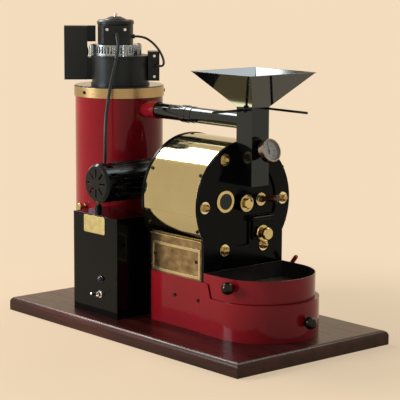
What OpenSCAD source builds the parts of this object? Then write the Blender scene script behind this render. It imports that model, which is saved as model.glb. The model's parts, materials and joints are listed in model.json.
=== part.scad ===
// Home coffee bean roaster: a drum roaster, its cyclone, blower and controls on one board.
// Millimetres. +X is the machine's right seen from the front, +Y the back, +Z up.
// The origin is the centre of the board's underside.

/* [Base board] */
// Board width across the machine
board_width = 405; // [390:1:440]
// Board length from front to back
board_length = 737; // [737:1:780]
// Board thickness
board_thick = 28.5; // [24:0.5:34]
// Rounding of the board's top edges
board_round = 11; // [4:0.5:14]

/* [Roasting chamber] */
// Machine centreline, to the right of the board's middle
centre_x = 6; // [0:0.5:10]
// Height of the drum's axis above the table
drum_height = 278.5; // [272:0.5:284]
// Front face of the front plate
plate_face = -154; // [-160:0.5:-150]
// Front plate thickness
plate_thick = 8; // [6:0.5:10]
// Radius of the front plate's round top
plate_radius = 123.4; // [122:0.2:125]
// Half the width of the plate's lower part and of the case
waist_half = 105; // [104:0.5:107]
// Depth of the chamber between the two plates
chamber_depth = 155; // [150:1:162]
// Rear plate thickness
rear_thick = 6; // [4:0.5:8]
// Outer radius of the jacket
jacket_radius = 125; // [124.6:0.2:127]
// Jacket and apron sheet thickness
jacket_wall = 1.5; // [1:0.1:1.6]
// Radius of the disc set into the front plate
cover_radius = 86; // [84:0.5:90]
// Depth of the disc's face behind the front plate's face
cover_inset = 4; // [3:0.5:5]
// Thickness of the set-in disc
cover_thick = 2; // [1.5:0.25:2.5]
// Radius of the circle that the six tie rods stand on
bolt_circle = 104; // [103:0.5:105]
// Tie rod diameter
rod_dia = 6; // [5:0.5:7]
// Drum outer radius
drum_radius = 97; // [94:0.5:98]
// Drum wall
drum_wall = 2; // [1.5:0.25:3]
// Height of the drum's inner vanes
vane_height = 18; // [10:1:20]
// Drum shaft diameter
shaft_dia = 16; // [14:0.5:18]
// Running clearance of shafts in their bearings, on the radius
running_gap = 0.05; // [0.02:0.01:0.09]

/* [Lower case] */
// Height of the lower case's top above the table
case_top = 131; // [126:0.5:140]
// Sheet thickness of the lower case, housing and boxes
sheet = 2; // [1.5:0.25:2.5]
// Screw head diameter
screw_dia = 7; // [5:0.5:8]

/* [Discharge door] */
// Door centre, to the right of the machine's centreline
door_offset = 44; // [42:0.5:46]
// Door width
door_width = 46; // [42:1:50]
// Height of the door's lower edge above the table
door_bottom = 201.5; // [201:0.5:204]
// Height of the hinge pin above the table
door_pin_height = 244; // [242:0.5:247]
// Door panel thickness
door_thick = 4; // [3:0.5:5]

/* [Sight glass and trier] */
// Sight glass centre, left of the centreline
glass_offset = 48; // [46:0.5:52]
// Sight glass centre above the drum's axis
glass_rise = 6.5; // [4:0.5:10]
// Sight glass ring diameter
glass_ring_dia = 45; // [42:0.5:48]
// Trier centre, to the right of the centreline
trier_offset = 44; // [42:0.5:48]
// Trier centre above the drum's axis
trier_rise = 3; // [0:0.5:6]
// Trier tube diameter
trier_dia = 14; // [12:0.5:16]
// Upward tilt of the trier
trier_tilt = 7.5; // [5:0.5:9]

/* [Feed] */
// Outer width of the square chute
chute_width = 45; // [42:0.5:48]
// Height of the chute's bottom above the table
chute_bottom = 317; // [314:1:320]
// Height of the chute's top above the table
chute_top = 471; // [468:1:480]
// Width of the hopper's mouth
hopper_width = 173; // [166:1:182]
// Height of the hopper's mouth above the table
hopper_top = 540; // [530:1:555]
// Diameter of the gate's rod
gate_rod_dia = 5; // [4:0.5:6]
// Reach of the gate lever in front of its shaft
gate_reach = 115; // [90:1:122]

/* [Thermometer] */
// Outer diameter of the thermometer's case
dial_dia = 47; // [42:0.5:50]
// Height of the dial's centre above the table
dial_height = 391; // [386:1:396]
// Upward tilt of the dial
dial_tilt = 20; // [15:1:25]

/* [Gear drive] */
// Drum motor's axis, behind the board's middle
motor_y = 100; // [96:0.5:102]
// Centre distance of the worm and its wheel
gear_distance = 25; // [24:0.25:27]
// Teeth on the worm wheel
wheel_teeth = 30; // [20:2:40]
// Drum motor diameter
motor_dia = 80.5; // [76:0.5:82]
// Left end of the drum motor, from the board's middle
motor_left = -170; // [-174:1:-160]
// Length of the motor's vented end bell
bell_length = 36; // [30:1:42]

/* [Exhaust and cyclone] */
// Height of the exhaust pipe's axis above the table
pipe_height = 441; // [438:0.5:443]
// Outer diameter of the exhaust pipe
pipe_dia = 32; // [30:0.5:34]
// Cyclone radius
cyclone_radius = 94.4; // [93:0.2:95]
// Cyclone axis behind the board's middle
cyclone_y = 249; // [249:0.5:254]
// Height of the cyclone's top edge above the table
cyclone_top = 464; // [462:0.5:470]
// Height of the band round the lid
band_height = 21; // [18:0.5:24]

/* [Blower] */
// Blower axis, to the right of the board's middle
blower_x = 0.5; // [0:0.5:2]
// Blower axis behind the board's middle
blower_y = 254; // [252:0.5:258]
// How far the blower is turned to the left
blower_turn = 36; // [32:1:38]
// Outer radius of the scroll
scroll_radius = 61; // [60:0.5:63]
// Height of the scroll
scroll_height = 63; // [58:1:66]
// Height of the slotted vent ring
vent_height = 23; // [20:0.5:26]
// Slots round the vent ring
vent_slots = 44; // [36:1:52]
// Blower motor radius
blower_radius = 38; // [36:0.5:38.5]
// Blower motor height
blower_height = 52; // [48:1:56]
// Impeller blades
impeller_blades = 12; // [8:1:16]

/* [Control box] */
// Control box width
control_width = 85; // [80:1:86]
// Control box length along Y
control_length = 147; // [140:1:148]
// Control box height
control_height = 207; // [200:1:212]
// Left face of the control box, from the board's middle
control_left = -157.5; // [-160:0.5:-157]
// Front face of the control box, from the board's middle
control_front = 47; // [44:0.5:48]

/* [Cooling tray] */
// Cooling tray radius
tray_radius = 106; // [102:0.5:107]
// Height of the tray's rim above the table
tray_rim = 149.5; // [146:0.5:154]
// Height of the housing's deck above the table
deck_height = 103; // [98:0.5:108]
// Centre of the tray's round front, from the board's middle
tray_arc_y = -207; // [-207:0.5:-204]
// Gap between the tray and what it stands on or beside
tray_gap = 0.4; // [0.3:0.05:1]
// Holes across the tray's floor
floor_holes = 17; // [11:2:21]
// Diameter of the black ball knobs
ball_dia = 25; // [22:0.5:28]

/* [Diverter lever] */
// Diverter pivot, from the board's middle along Y
diverter_y = -152; // [-153:0.5:-151]
// Height of the diverter pivot above the table
diverter_height = 121; // [118:0.5:123]
// Length of the diverter lever up to its grip
diverter_reach = 31; // [28:1:36]

/* [Hidden] */

$fn = 64;
// Overlap of a cutter past the face that it cuts
cut = 1;

// Chamber planes along Y
plate_back = plate_face + plate_thick;
chamber_back = plate_back + chamber_depth;
rear_back = chamber_back + rear_thick;
cover_face = plate_face + cover_inset;
hub_reach = 10;
hub_face = cover_face - hub_reach - 2.6;
// Front edge of the jacket, which laps over the front plate's rim
jacket_front = plate_face + 3;
// Height where the jacket's round meets the straight aprons
jacket_foot = drum_height - sqrt(pow(jacket_radius, 2) - pow(waist_half, 2));
// Height where the jacket's lap over the front plate ends, above the plate's straight sides
lap_foot = drum_height - sqrt(pow(jacket_radius - jacket_wall, 2) - pow(waist_half, 2)) + 0.5;
drum_front_gap = 3;
drum_back_gap = 8;
drum_length = chamber_depth - drum_front_gap - drum_back_gap;
bearing_bore = shaft_dia / 2 + running_gap;
rod_angles = [for (i = [0:5]) i * 60];
// Height of the seam where the jacket's upper sheet laps over the lower ones
seam_height = drum_height - 17;
seam_step = 0.7;
heater_radius = (drum_radius + jacket_radius) / 2 + 2.5;
heater_dia = 7;
heater_angles = [222, 258, 282, 318];
heater_socket = 4;
// Screws in the jacket, by their angle about the drum's axis, and in the flat sides
jacket_screw_angles = [150, 92, 30, 202, -22];
jacket_screw_inset = 8.5;
case_screw_height = 92;
apron_screw_height = 168;

// Feed chute
chute_front = plate_face - chute_width;
chute_mid = plate_face - chute_width / 2;
chute_inner = chute_width - 2 * sheet;
mouth_height = 35;
gate_height = chute_top - 5;
gate_side = chute_inner - 2;
gate_thick = 1.5;
gate_arm_x = centre_x + chute_width / 2 + 12.5;
gate_left_x = centre_x - chute_width / 2 - 81.5;

// Thermometer, along its own tilted axis
dial_y = chute_front - 29;
dial_x = centre_x + 4;
dial_depth = 15;
dial_wall = 2;
stem_dia = 6;

// Door
door_x = centre_x + door_offset;
door_gap = 0.4;
door_face = plate_face - door_gap - door_thick;
door_top = door_pin_height - 4.5;
door_pin_y = plate_face - 6;
door_pin_dia = 4;
knuckle_radius = 4.6;
pad_left = door_x - door_width / 2 - 7;
pad_low = drum_height - cover_radius - 9;
pad_high = door_pin_height + 7;
outlet_width = 34;
outlet_low = door_bottom + 4.5;
outlet_high = outlet_low + 28;

// Trier
trier_x = centre_x + trier_offset;
trier_z = drum_height + trier_rise;
// Where the handle starts, out from the disc's face along the trier
trier_stop = 7.5;

// Gears
wheel_radius = gear_distance - 7.8;
worm_radius = 7.4;
gear_case_half = 28;
gear_case_depth = 40;
gear_wall = 4;
worm_dia = 10;
worm_z = drum_height + gear_distance;

// Exhaust pipe's stub on the cyclone, and its coupling behind the chamber
stub_reach = 41.5;
coupling_y = rear_back;

// Cyclone and blower heights
lid_top = cyclone_top + band_height + 2;
scroll_top = lid_top + scroll_height;
vent_top = scroll_top + vent_height;
motor_top = vent_top + blower_height;
inlet_radius = 28.5;
stub_wall = 2;
impeller_radius = 42;
impeller_height = 38;
rotor_dia = 8;
terminal_width = 53.5;
terminal_height = 41;
terminal_face = 42;

// Tray and housing
tray_back = plate_face - tray_gap;
tray_wall = 1.6;
tray_base = deck_height + tray_gap;
floor_height = tray_base + 12;
housing_half = tray_radius + 3;
housing_arc_y = tray_arc_y - 7;
deck_opening = tray_radius - 16;
spigot_drop = 5;

// Control box
control_top = board_thick + control_height;

// ---------- Shared shapes ----------

// A board's section with its two top edges rounded
module rounded_section(width) {
  translate([-width / 2, 0]) square([width, board_thick - board_round]);
  translate([board_round - width / 2, 0]) square([width - 2 * board_round, board_thick]);
  for (side = [-1, 1])
    translate([side * (width / 2 - board_round), board_thick - board_round])
      circle(r = board_round);
}

// Turns a cylinder along +Z to point to the front
module facing_front() {
  rotate([90, 0, 0]) children();
}

// A cylinder along Y from its front face to its back face
module round_y(x, z, radius, front, back) {
  translate([x, back, z]) rotate([90, 0, 0]) cylinder(r = radius, h = back - front);
}

// A cylinder along X between two planes
module round_x(y, z, radius, left, right) {
  translate([left, y, z]) rotate([0, 90, 0]) cylinder(r = radius, h = right - left);
}

// The keyhole outline of the two chamber plates
module keyhole(radius) {
  translate([0, drum_height]) circle(r = radius, $fn = 96);
  translate([-waist_half, board_thick]) square([2 * waist_half, drum_height - board_thick]);
}

// A chamber plate standing between two Y planes
module plate_solid(radius, front, back) {
  translate([centre_x, back, 0]) facing_front() linear_extrude(height = back - front)
    keyhole(radius);
}

// Places children at each tie rod, with +Z to the front
module at_rods(y) {
  for (a = rod_angles)
    translate([centre_x + bolt_circle * cos(a), y, drum_height + bolt_circle * sin(a)])
      facing_front() children();
}

// Bores for the tie rods and heating elements through a plate
module rod_holes(front, back) {
  at_rods(back + cut) cylinder(d = rod_dia, h = back - front + 2 * cut);
}

module heater_rods(front, back) {
  for (a = heater_angles)
    round_y(centre_x + heater_radius * cos(a), drum_height + heater_radius * sin(a),
            heater_dia / 2, front, back);
}

// Places children at each sheet-metal screw, with +Z outwards from the sheet
module at_case_screws() {
  for (side = [-1, 1]) {
    for (y = [plate_back + jacket_screw_inset, plate_back + 80])
      translate([centre_x + side * waist_half, y, case_screw_height])
        rotate([0, side * 90, 0]) children();
    for (y = [plate_back + 14, chamber_back - 14])
      translate([centre_x + side * waist_half, y, apron_screw_height])
        rotate([0, side * 90, 0]) children();
  }
}

module at_jacket_screws() {
  for (a = jacket_screw_angles)
    for (y = [jacket_front + 3.8, chamber_back - jacket_screw_inset])
      translate([centre_x, y, drum_height]) rotate([0, 90 - a, 0])
        translate([0, 0, jacket_radius]) children();
}

module screw_bore() {
  translate([0, 0, -6]) cylinder(d = screw_dia / 2, h = 12, $fn = 24);
}

// A round-headed screw with a cross slot, its shank reaching through the sheet
module sheet_screw() {
  difference() {
    cylinder(d = screw_dia, h = 2.2, $fn = 32);
    for (turn = [0, 90])
      rotate([0, 0, turn]) translate([-screw_dia / 3, -0.5, 1.2])
        cube([2 * screw_dia / 3, 1, 2]);
  }
  translate([0, 0, -5]) cylinder(d = screw_dia / 2, h = 5, $fn = 24);
}

// A ball knob on a short stud, pointing along +Z, its ball's centre at the given distance
module ball_knob(reach) {
  cylinder(d = 6, h = reach);
  rotate_extrude()
    intersection() {
      translate([0, reach]) circle(d = ball_dia);
      translate([0, reach - ball_dia / 2 + 0.6]) square([ball_dia, ball_dia]);
    }
}

// ---------- Board and lower case ----------

module base_board() {
  color([0.34, 0.12, 0.08])
    intersection() {
      translate([0, board_length / 2, 0]) facing_front()
        linear_extrude(height = board_length) rounded_section(board_width);
      translate([-board_width / 2, 0, 0]) rotate([90, 0, 90])
        linear_extrude(height = board_width) rounded_section(board_length);
    }
}

module lower_case() {
  color([0.55, 0.10, 0.14])
    difference() {
      translate([centre_x - waist_half, plate_back, board_thick])
        cube([2 * waist_half, chamber_depth, case_top - board_thick]);
      translate([centre_x - waist_half + sheet, plate_back + sheet, board_thick - cut])
        cube([2 * (waist_half - sheet), chamber_depth - 2 * sheet,
              case_top - board_thick - sheet + cut]);
      at_case_screws() screw_bore();
    }
}

// The flat brass sides above the case, each with a raised border
module apron_panels() {
  height = jacket_foot - case_top;
  color([0.72, 0.62, 0.36])
    difference() {
      for (side = [-1, 1])
        translate([centre_x + side * (waist_half - jacket_wall / 2), 0, 0]) {
          translate([-jacket_wall / 2, plate_back, case_top])
            cube([jacket_wall, chamber_depth, height]);
          difference() {
            translate([side > 0 ? jacket_wall / 2 : -jacket_wall / 2 - 1.2, plate_back + 3,
                       case_top + 3])
              cube([1.2, chamber_depth - 6, height - 20]);
            translate([-8, plate_back + 9, case_top + 9])
              cube([16, chamber_depth - 18, height - 32]);
          }
          translate([side > 0 ? jacket_wall / 2 : -jacket_wall / 2 - 3, plate_back,
                     jacket_foot - 2])
            cube([3, chamber_depth, 1.7]);
        }
      at_case_screws() screw_bore();
    }
}

module drum_jacket() {
  color([0.78, 0.68, 0.40])
    difference() {
      round_y(centre_x, drum_height, jacket_radius, jacket_front, chamber_back, $fn = 128);
      round_y(centre_x, drum_height, jacket_radius - jacket_wall, jacket_front - cut,
              chamber_back + cut, $fn = 128);
      translate([centre_x - jacket_radius - cut, jacket_front - cut, board_thick])
        cube([2 * (jacket_radius + cut), chamber_back - jacket_front + 2 * cut,
              jacket_foot - board_thick]);
      translate([centre_x - jacket_radius - cut, jacket_front - cut, board_thick])
        cube([2 * (jacket_radius + cut), plate_back - jacket_front + cut + 0.3,
              lap_foot - board_thick]);
      difference() {
        translate([centre_x - jacket_radius - cut, jacket_front - cut, board_thick])
          cube([2 * (jacket_radius + cut), chamber_back - jacket_front + 2 * cut,
                seam_height - board_thick]);
        round_y(centre_x, drum_height, jacket_radius - seam_step, jacket_front - 2 * cut,
                chamber_back + 2 * cut, $fn = 128);
      }
      at_jacket_screws() screw_bore();
    }
}

module case_screws() {
  color([0.80, 0.72, 0.48]) {
    at_case_screws() sheet_screw();
    at_jacket_screws() sheet_screw();
  }
}

// ---------- Chamber plates and their fittings ----------

// The openings that go through both the front plate and its disc
module front_openings() {
  round_y(centre_x, drum_height, 12, cover_face - hub_reach - cut, plate_back + cut);
  round_y(centre_x - glass_offset, drum_height + glass_rise, 13, cover_face - cut,
          plate_back + cut);
  round_y(trier_x, trier_z, 11, cover_face - cut, plate_back + cut);
  translate([centre_x - chute_inner / 2, cover_face - cut, chute_bottom + sheet])
    cube([chute_inner, cover_thick + plate_thick + 2 * cut, mouth_height]);
  translate([door_x - outlet_width / 2, plate_face - cut, outlet_low])
    cube([outlet_width, plate_thick + 2 * cut, outlet_high - outlet_low]);
}

// The round of the set-in disc, widened by a gap and cut away for the door's pad
module disc_round(gap, front, back) {
  difference() {
    round_y(centre_x, drum_height, cover_radius + gap, front, back, $fn = 96);
    translate([pad_left + gap, front - cut, pad_low])
      cube([2 * door_width, back - front + 2 * cut, pad_high - gap - pad_low]);
  }
}

module front_plate() {
  color([0.05, 0.05, 0.05])
    difference() {
      union() {
        difference() {
          plate_solid(plate_radius, plate_face, plate_back);
          disc_round(0.15, plate_face - cut, cover_face + cover_thick);
        }
        for (side = [-1, 1])
          translate([door_x + side * (door_width / 2 + 3) - 2.5, 0, 0]) {
            round_x(door_pin_y, door_pin_height, 5, 0, 5);
            translate([0, door_pin_y, door_pin_height - 5])
              cube([5, plate_face - door_pin_y + 1, 10]);
          }
      }
      front_openings();
      round_x(door_pin_y, door_pin_height, door_pin_dia / 2, door_x - door_width,
              door_x + door_width);
      at_jacket_screws() screw_bore();
      rod_holes(plate_face, plate_back);
      heater_rods(plate_back - heater_socket, plate_back + cut);
    }
}

// The disc set into the plate, with the hub of the front bearing
module front_cover() {
  color([0.06, 0.06, 0.06])
    difference() {
      union() {
        disc_round(0, cover_face, cover_face + cover_thick);
        round_y(centre_x, drum_height, 17.5, cover_face - hub_reach, cover_face + 1);
      }
      front_openings();
    }
}

// Six rods that draw the two plates together, with a washer and a dome nut at each end
module tie_rods() {
  length = plate_thick + chamber_depth + rear_thick;
  color([0.80, 0.70, 0.42]) {
    at_rods(rear_back) cylinder(d = rod_dia, h = length);
    at_rods(plate_face) dome_nut();
    at_rods(rear_back) mirror([0, 0, 1]) dome_nut();
  }
}

// A washer and a dome nut standing on +Z
module dome_nut() {
  cylinder(r = 12, h = 1.6);
  translate([0, 0, 1.6]) cylinder(r = 8.5, h = 5.5, $fn = 6);
  rotate_extrude($fn = 32)
    intersection() {
      translate([0, 5.6]) circle(r = 6.6);
      translate([0, 7]) square([8, 8]);
    }
}

// The brass ring that holds the sight glass against the plate
module sight_glass_ring() {
  color([0.78, 0.70, 0.42])
    translate([centre_x - glass_offset, cover_face, drum_height + glass_rise])
      facing_front() rotate_extrude()
        polygon([[18.1, 0], [glass_ring_dia / 2, 0], [glass_ring_dia / 2, 2.6],
                 [glass_ring_dia / 2 - 0.8, 3.4], [16, 3.4], [16, 2.2], [18.1, 2.2]]);
}

module sight_glass() {
  color([0.25, 0.16, 0.10])
    round_y(centre_x - glass_offset, drum_height + glass_rise, 18, cover_face - 2.1,
            cover_face);
}

// The flanged bush of the drum shaft's front end
module front_bearing() {
  color([0.15, 0.15, 0.15])
    difference() {
      union() {
        round_y(centre_x, drum_height, 17, hub_face, cover_face - hub_reach);
        round_y(centre_x, drum_height, 12, cover_face - hub_reach, plate_back);
      }
      round_y(centre_x, drum_height, 13.6, hub_face - cut, cover_face - hub_reach - 0.8);
      round_y(centre_x, drum_height, bearing_bore, hub_face - cut, plate_back + cut);
    }
}

// Places children on the trier's tilted axis, with +Z outwards
module on_trier_axis() {
  translate([trier_x, cover_face, trier_z]) rotate([90 - trier_tilt, 0, 0]) children();
}

module trier_bush() {
  color([0.78, 0.70, 0.42])
    difference() {
      union() {
        round_y(trier_x, trier_z, 13, cover_face - 6, cover_face);
        round_y(trier_x, trier_z, 11, cover_face, plate_back);
      }
      on_trier_axis() translate([0, 0, -30])
        cylinder(r = trier_dia / 2 + running_gap, h = 60);
    }
}

// The sampling scoop: a tube cut open along its top inside the drum
module trier_tube() {
  inside = 76;
  color([0.75, 0.75, 0.76])
    on_trier_axis() difference() {
      translate([0, 0, -inside]) cylinder(d = trier_dia, h = inside + trier_stop);
      translate([0, 0, 5 - inside]) cylinder(d = trier_dia - 2.4, h = inside - 25);
      translate([-trier_dia / 2, 1, 10 - inside]) cube([trier_dia, trier_dia, inside - 32]);
    }
}

// The turned wooden handle
module trier_handle() {
  color([0.22, 0.10, 0.05])
    on_trier_axis() translate([0, 0, trier_stop]) rotate_extrude()
      polygon([[0, 0], [6, 0], [7, 1.5], [7, 4], [5.4, 7], [5.2, 14], [6.6, 28],
               [7.8, 40], [7.6, 45], [6, 48.5], [0, 49.5]]);
}

// The door over the outlet, with a rounded lower edge and its hinge knuckle
module discharge_door() {
  color([0.06, 0.06, 0.06])
    difference() {
      union() {
        translate([door_x - door_width / 2, door_face, door_bottom + door_thick / 2])
          cube([door_width, door_thick, door_top - door_bottom - door_thick / 2]);
        round_x(door_face + door_thick / 2, door_bottom + door_thick / 2, door_thick / 2,
                door_x - door_width / 2, door_x + door_width / 2);
        round_x(door_pin_y, door_pin_height, knuckle_radius, door_x - door_width / 2,
                door_x + door_width / 2);
      }
      round_x(door_pin_y, door_pin_height, door_pin_dia / 2 + running_gap,
              door_x - door_width, door_x + door_width);
    }
}

// The door's brass pull
module discharge_knob() {
  color([0.80, 0.70, 0.40])
    translate([door_x + 2, door_face, door_bottom + 12]) facing_front()
      rotate_extrude()
        polygon([[0, 0], [15, 0], [16, 1.4], [14.5, 2.4], [6, 3.2], [6, 8], [11.5, 9],
                 [12.5, 11], [12.5, 17], [11, 19], [0, 19.5]]);
}

module door_pin() {
  color([0.70, 0.70, 0.72])
    round_x(door_pin_y, door_pin_height, door_pin_dia / 2, door_x - door_width / 2 - 5.5,
            door_x + door_width / 2 + 5.5);
}

module rear_plate() {
  color([0.05, 0.05, 0.05])
    difference() {
      plate_solid(jacket_radius + 1.5, chamber_back, rear_back);
      rod_holes(chamber_back, rear_back);
      heater_rods(chamber_back - cut, rear_back + cut);
      round_y(centre_x, drum_height, 20, chamber_back - cut, rear_back + cut);
    }
}

// ---------- Drum, its shaft and heaters ----------

// The open-fronted drum with its rear wall, a three-armed spider and four mixing vanes
module roasting_drum() {
  front = plate_back + drum_front_gap;
  back = front + drum_length;
  spider_front = front + 0.68 * drum_length;
  inner = drum_radius - drum_wall;
  color([0.30, 0.30, 0.31])
    difference() {
      union() {
        difference() {
          round_y(centre_x, drum_height, drum_radius, front, back, $fn = 96);
          round_y(centre_x, drum_height, inner, front - cut, back - 3, $fn = 96);
        }
        for (a = [30 : 90 : 300])
          translate([centre_x, 0, drum_height]) rotate([0, -a, 0])
            translate([inner - vane_height, front + 6, -1])
              cube([vane_height + 0.5, drum_length - 9 + 0.5, 2]);
        for (a = [90 : 120 : 330])
          translate([centre_x, 0, drum_height]) rotate([0, -a, 0])
            translate([0, spider_front, -6]) cube([inner + 0.5, 5, 12]);
        round_y(centre_x, drum_height, 15, spider_front - 4, spider_front + 9);
        round_y(centre_x, drum_height, 20, back - 10, back);
      }
      round_y(centre_x, drum_height, shaft_dia / 2, front - cut, back + cut);
    }
}

// The shaft from the front bearing to the worm wheel, with its turned brass end cap
module drum_shaft() {
  color([0.76, 0.70, 0.50]) {
    round_y(centre_x, drum_height, shaft_dia / 2, hub_face + 1, motor_y + 14);
    translate([centre_x, hub_face + 1.3, drum_height]) facing_front() rotate_extrude()
      polygon([[0, 0], [10.5, 0], [10.5, 7], [9.5, 8.6], [5, 9.4], [0, 9.4]]);
  }
}

// The flanged rear bearing in the rear plate
module rear_bearing() {
  color([0.45, 0.45, 0.47])
    difference() {
      union() {
        round_y(centre_x, drum_height, 20, chamber_back, rear_back);
        round_y(centre_x, drum_height, 30, rear_back, rear_back + 6);
        round_y(centre_x, drum_height, 17, rear_back + 6, rear_back + 14);
      }
      round_y(centre_x, drum_height, bearing_bore, chamber_back - cut, rear_back + 14 + cut);
      for (a = [45 : 90 : 315])
        round_y(centre_x + 25 * cos(a), drum_height + 25 * sin(a), 2.2, rear_back + 3,
                rear_back + 6 + cut, $fn = 24);
    }
}

// Four straight heater rods under the drum, their terminals behind the rear plate
module heating_elements() {
  color([0.42, 0.36, 0.33]) {
    heater_rods(plate_back - heater_socket, rear_back + 6);
    for (a = heater_angles)
      round_y(centre_x + heater_radius * cos(a), drum_height + heater_radius * sin(a), 1.6,
              rear_back + 6, rear_back + 14, $fn = 24);
  }
}

// ---------- Gear drive ----------

// The worm gear's case, carried by a foot on the board
module gearbox_case() {
  front = motor_y - gear_case_depth / 2;
  back = motor_y + gear_case_depth / 2;
  low = drum_height - 30;
  high = worm_z + 17;
  color([0.50, 0.51, 0.52])
    difference() {
      union() {
        translate([centre_x - gear_case_half, front, low])
          cube([2 * gear_case_half, gear_case_depth, high - low]);
        round_y(centre_x, drum_height, 19, front - 8, front);
        round_x(motor_y, worm_z, 15, centre_x + gear_case_half,
                centre_x + gear_case_half + 6);
        translate([centre_x - 18, motor_y - 5, board_thick]) cube([36, 10, low - board_thick]);
        for (side = [-1, 1])
          translate([centre_x + side * 9 - 3, front, board_thick + 8])
            cube([6, gear_case_depth, low - board_thick - 8]);
        translate([centre_x - 34, front - 6, board_thick])
          cube([68, gear_case_depth + 12, 8]);
      }
      translate([centre_x - gear_case_half + gear_wall, front + gear_wall, low + gear_wall])
        cube([2 * (gear_case_half - gear_wall), gear_case_depth - 2 * gear_wall,
              high - low - 2 * gear_wall]);
      round_y(centre_x, drum_height, bearing_bore, front - 8 - cut, front + gear_wall + cut);
      round_x(motor_y, worm_z, worm_dia / 2 + running_gap, centre_x - gear_case_half - cut,
              centre_x + gear_case_half + 4);
    }
}

module worm_wheel() {
  color([0.72, 0.58, 0.30])
    difference() {
      union() {
        round_y(centre_x, drum_height, wheel_radius, motor_y - 6, motor_y + 6);
        round_y(centre_x, drum_height, 12, motor_y - 12, motor_y + 12);
      }
      round_y(centre_x, drum_height, shaft_dia / 2, motor_y - 13, motor_y + 13);
      for (i = [0 : wheel_teeth - 1])
        translate([centre_x, motor_y, drum_height]) rotate([0, i * 360 / wheel_teeth, 0])
          translate([-0.8, -7, wheel_radius - 1.8]) cube([1.6, 14, 3]);
    }
}

// The worm on the drum motor's shaft, its thread as ridges
module worm_shaft() {
  color([0.62, 0.63, 0.65]) {
    round_x(motor_y, worm_z, worm_dia / 2, centre_x - gear_case_half - 18,
            centre_x + gear_case_half + 3);
    for (i = [-3 : 3])
      translate([centre_x + i * 4, motor_y, worm_z]) rotate([0, 90, 0])
        rotate_extrude()
          polygon([[4, -1.6], [worm_radius, -0.5], [worm_radius, 0.5], [4, 1.6]]);
  }
}

// The drum motor, its round flange bolted to the gear case
module drive_motor() {
  right = centre_x - gear_case_half;
  body_left = motor_left + bell_length;
  color([0.10, 0.10, 0.11])
    difference() {
      union() {
        round_x(motor_y, worm_z, motor_dia / 2 - 1, body_left, right - 14);
        round_x(motor_y, worm_z, motor_dia / 2, right - 14, right - 6);
        round_x(motor_y, worm_z, 22, right - 6, right);
        for (a = [0 : 15 : 345])
          translate([0, motor_y, worm_z]) rotate([a, 0, 0])
            translate([body_left + 6, -0.8, motor_dia / 2 - 2])
              cube([right - body_left - 26, 1.6, 2]);
      }
      round_x(motor_y, worm_z, worm_dia / 2 + 0.5, right - 20, right + cut);
    }
}

// The motor's end bell: a cap with slots round its side and a vented face
module motor_end_bell() {
  body_left = motor_left + bell_length;
  color([0.05, 0.05, 0.05])
    difference() {
      translate([motor_left, motor_y, worm_z]) rotate([0, 90, 0]) rotate_extrude()
        polygon([[0, 0], [motor_dia / 2 - 5, 0], [motor_dia / 2, 5],
                 [motor_dia / 2, bell_length], [motor_dia / 2 - 3, bell_length],
                 [motor_dia / 2 - 3, 6], [motor_dia / 2 - 6, 3], [0, 3]]);
      for (a = [0 : 30 : 330])
        translate([0, motor_y, worm_z]) rotate([a, 0, 0])
          translate([motor_left + 12, -3, motor_dia / 2 - 6]) cube([16, 6, 10]);
      for (a = [0 : 45 : 315])
        translate([0, motor_y, worm_z]) rotate([a, 0, 0])
          translate([motor_left - cut, -2, 12]) cube([5, 4, 18]);
    }
}

// ---------- Feed chute, hopper and gate ----------

// The square chute, its floor sloping back to the mouth in the plate
module feed_chute() {
  mouth_top = chute_bottom + sheet + mouth_height;
  color([0.07, 0.07, 0.07])
    difference() {
      union() {
        translate([centre_x - chute_width / 2, chute_front, chute_bottom])
          cube([chute_width, chute_width, chute_top - chute_bottom]);
        translate([centre_x - chute_width / 2, chute_mid, chute_bottom])
          cube([chute_width, cover_face - chute_mid, mouth_top + sheet - chute_bottom]);
        round_x(chute_mid, gate_height, 5, centre_x - chute_width / 2 - 4,
                centre_x + chute_width / 2 + 4);
      }
      translate([centre_x - chute_inner / 2, 0, 0]) rotate([90, 0, 90])
        linear_extrude(height = chute_inner)
          polygon([[chute_front + sheet, chute_top + cut],
                   [plate_face - sheet, chute_top + cut],
                   [plate_face - sheet, mouth_top],
                   [cover_face + cut, mouth_top],
                   [cover_face + cut, chute_bottom + sheet],
                   [plate_face - sheet, chute_bottom + sheet],
                   [chute_front + sheet, mouth_top + 4]]);
      round_y(centre_x, pipe_height, pipe_dia / 2 - 1.5, plate_face - sheet - cut,
              plate_face + cut);
      round_x(chute_mid, gate_height, gate_rod_dia / 2 + running_gap,
              centre_x - chute_width, centre_x + chute_width);
      on_dial_axis() translate([0, 0, -48]) cylinder(d = stem_dia, h = 20);
    }
}

// A square frustum standing on the chute's top, its sides drawn in by the inset
module hopper_cone(inset, low, high) {
  half_low = chute_width / 2 - inset;
  half_high = hopper_width / 2 - inset;
  translate([centre_x, chute_mid, low]) rotate([0, 0, 45])
    cylinder(r1 = half_low * sqrt(2), r2 = half_high * sqrt(2), h = high - low, $fn = 4);
}

module hopper() {
  color([0.09, 0.09, 0.09])
    difference() {
      union() {
        hopper_cone(0, chute_top, hopper_top);
        translate([centre_x - hopper_width / 2, chute_mid - hopper_width / 2,
                   hopper_top - 1.2])
          cube([hopper_width, hopper_width, 1.2]);
      }
      hopper_cone(sheet, chute_top - 0.01, hopper_top + 0.01);
    }
}

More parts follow.
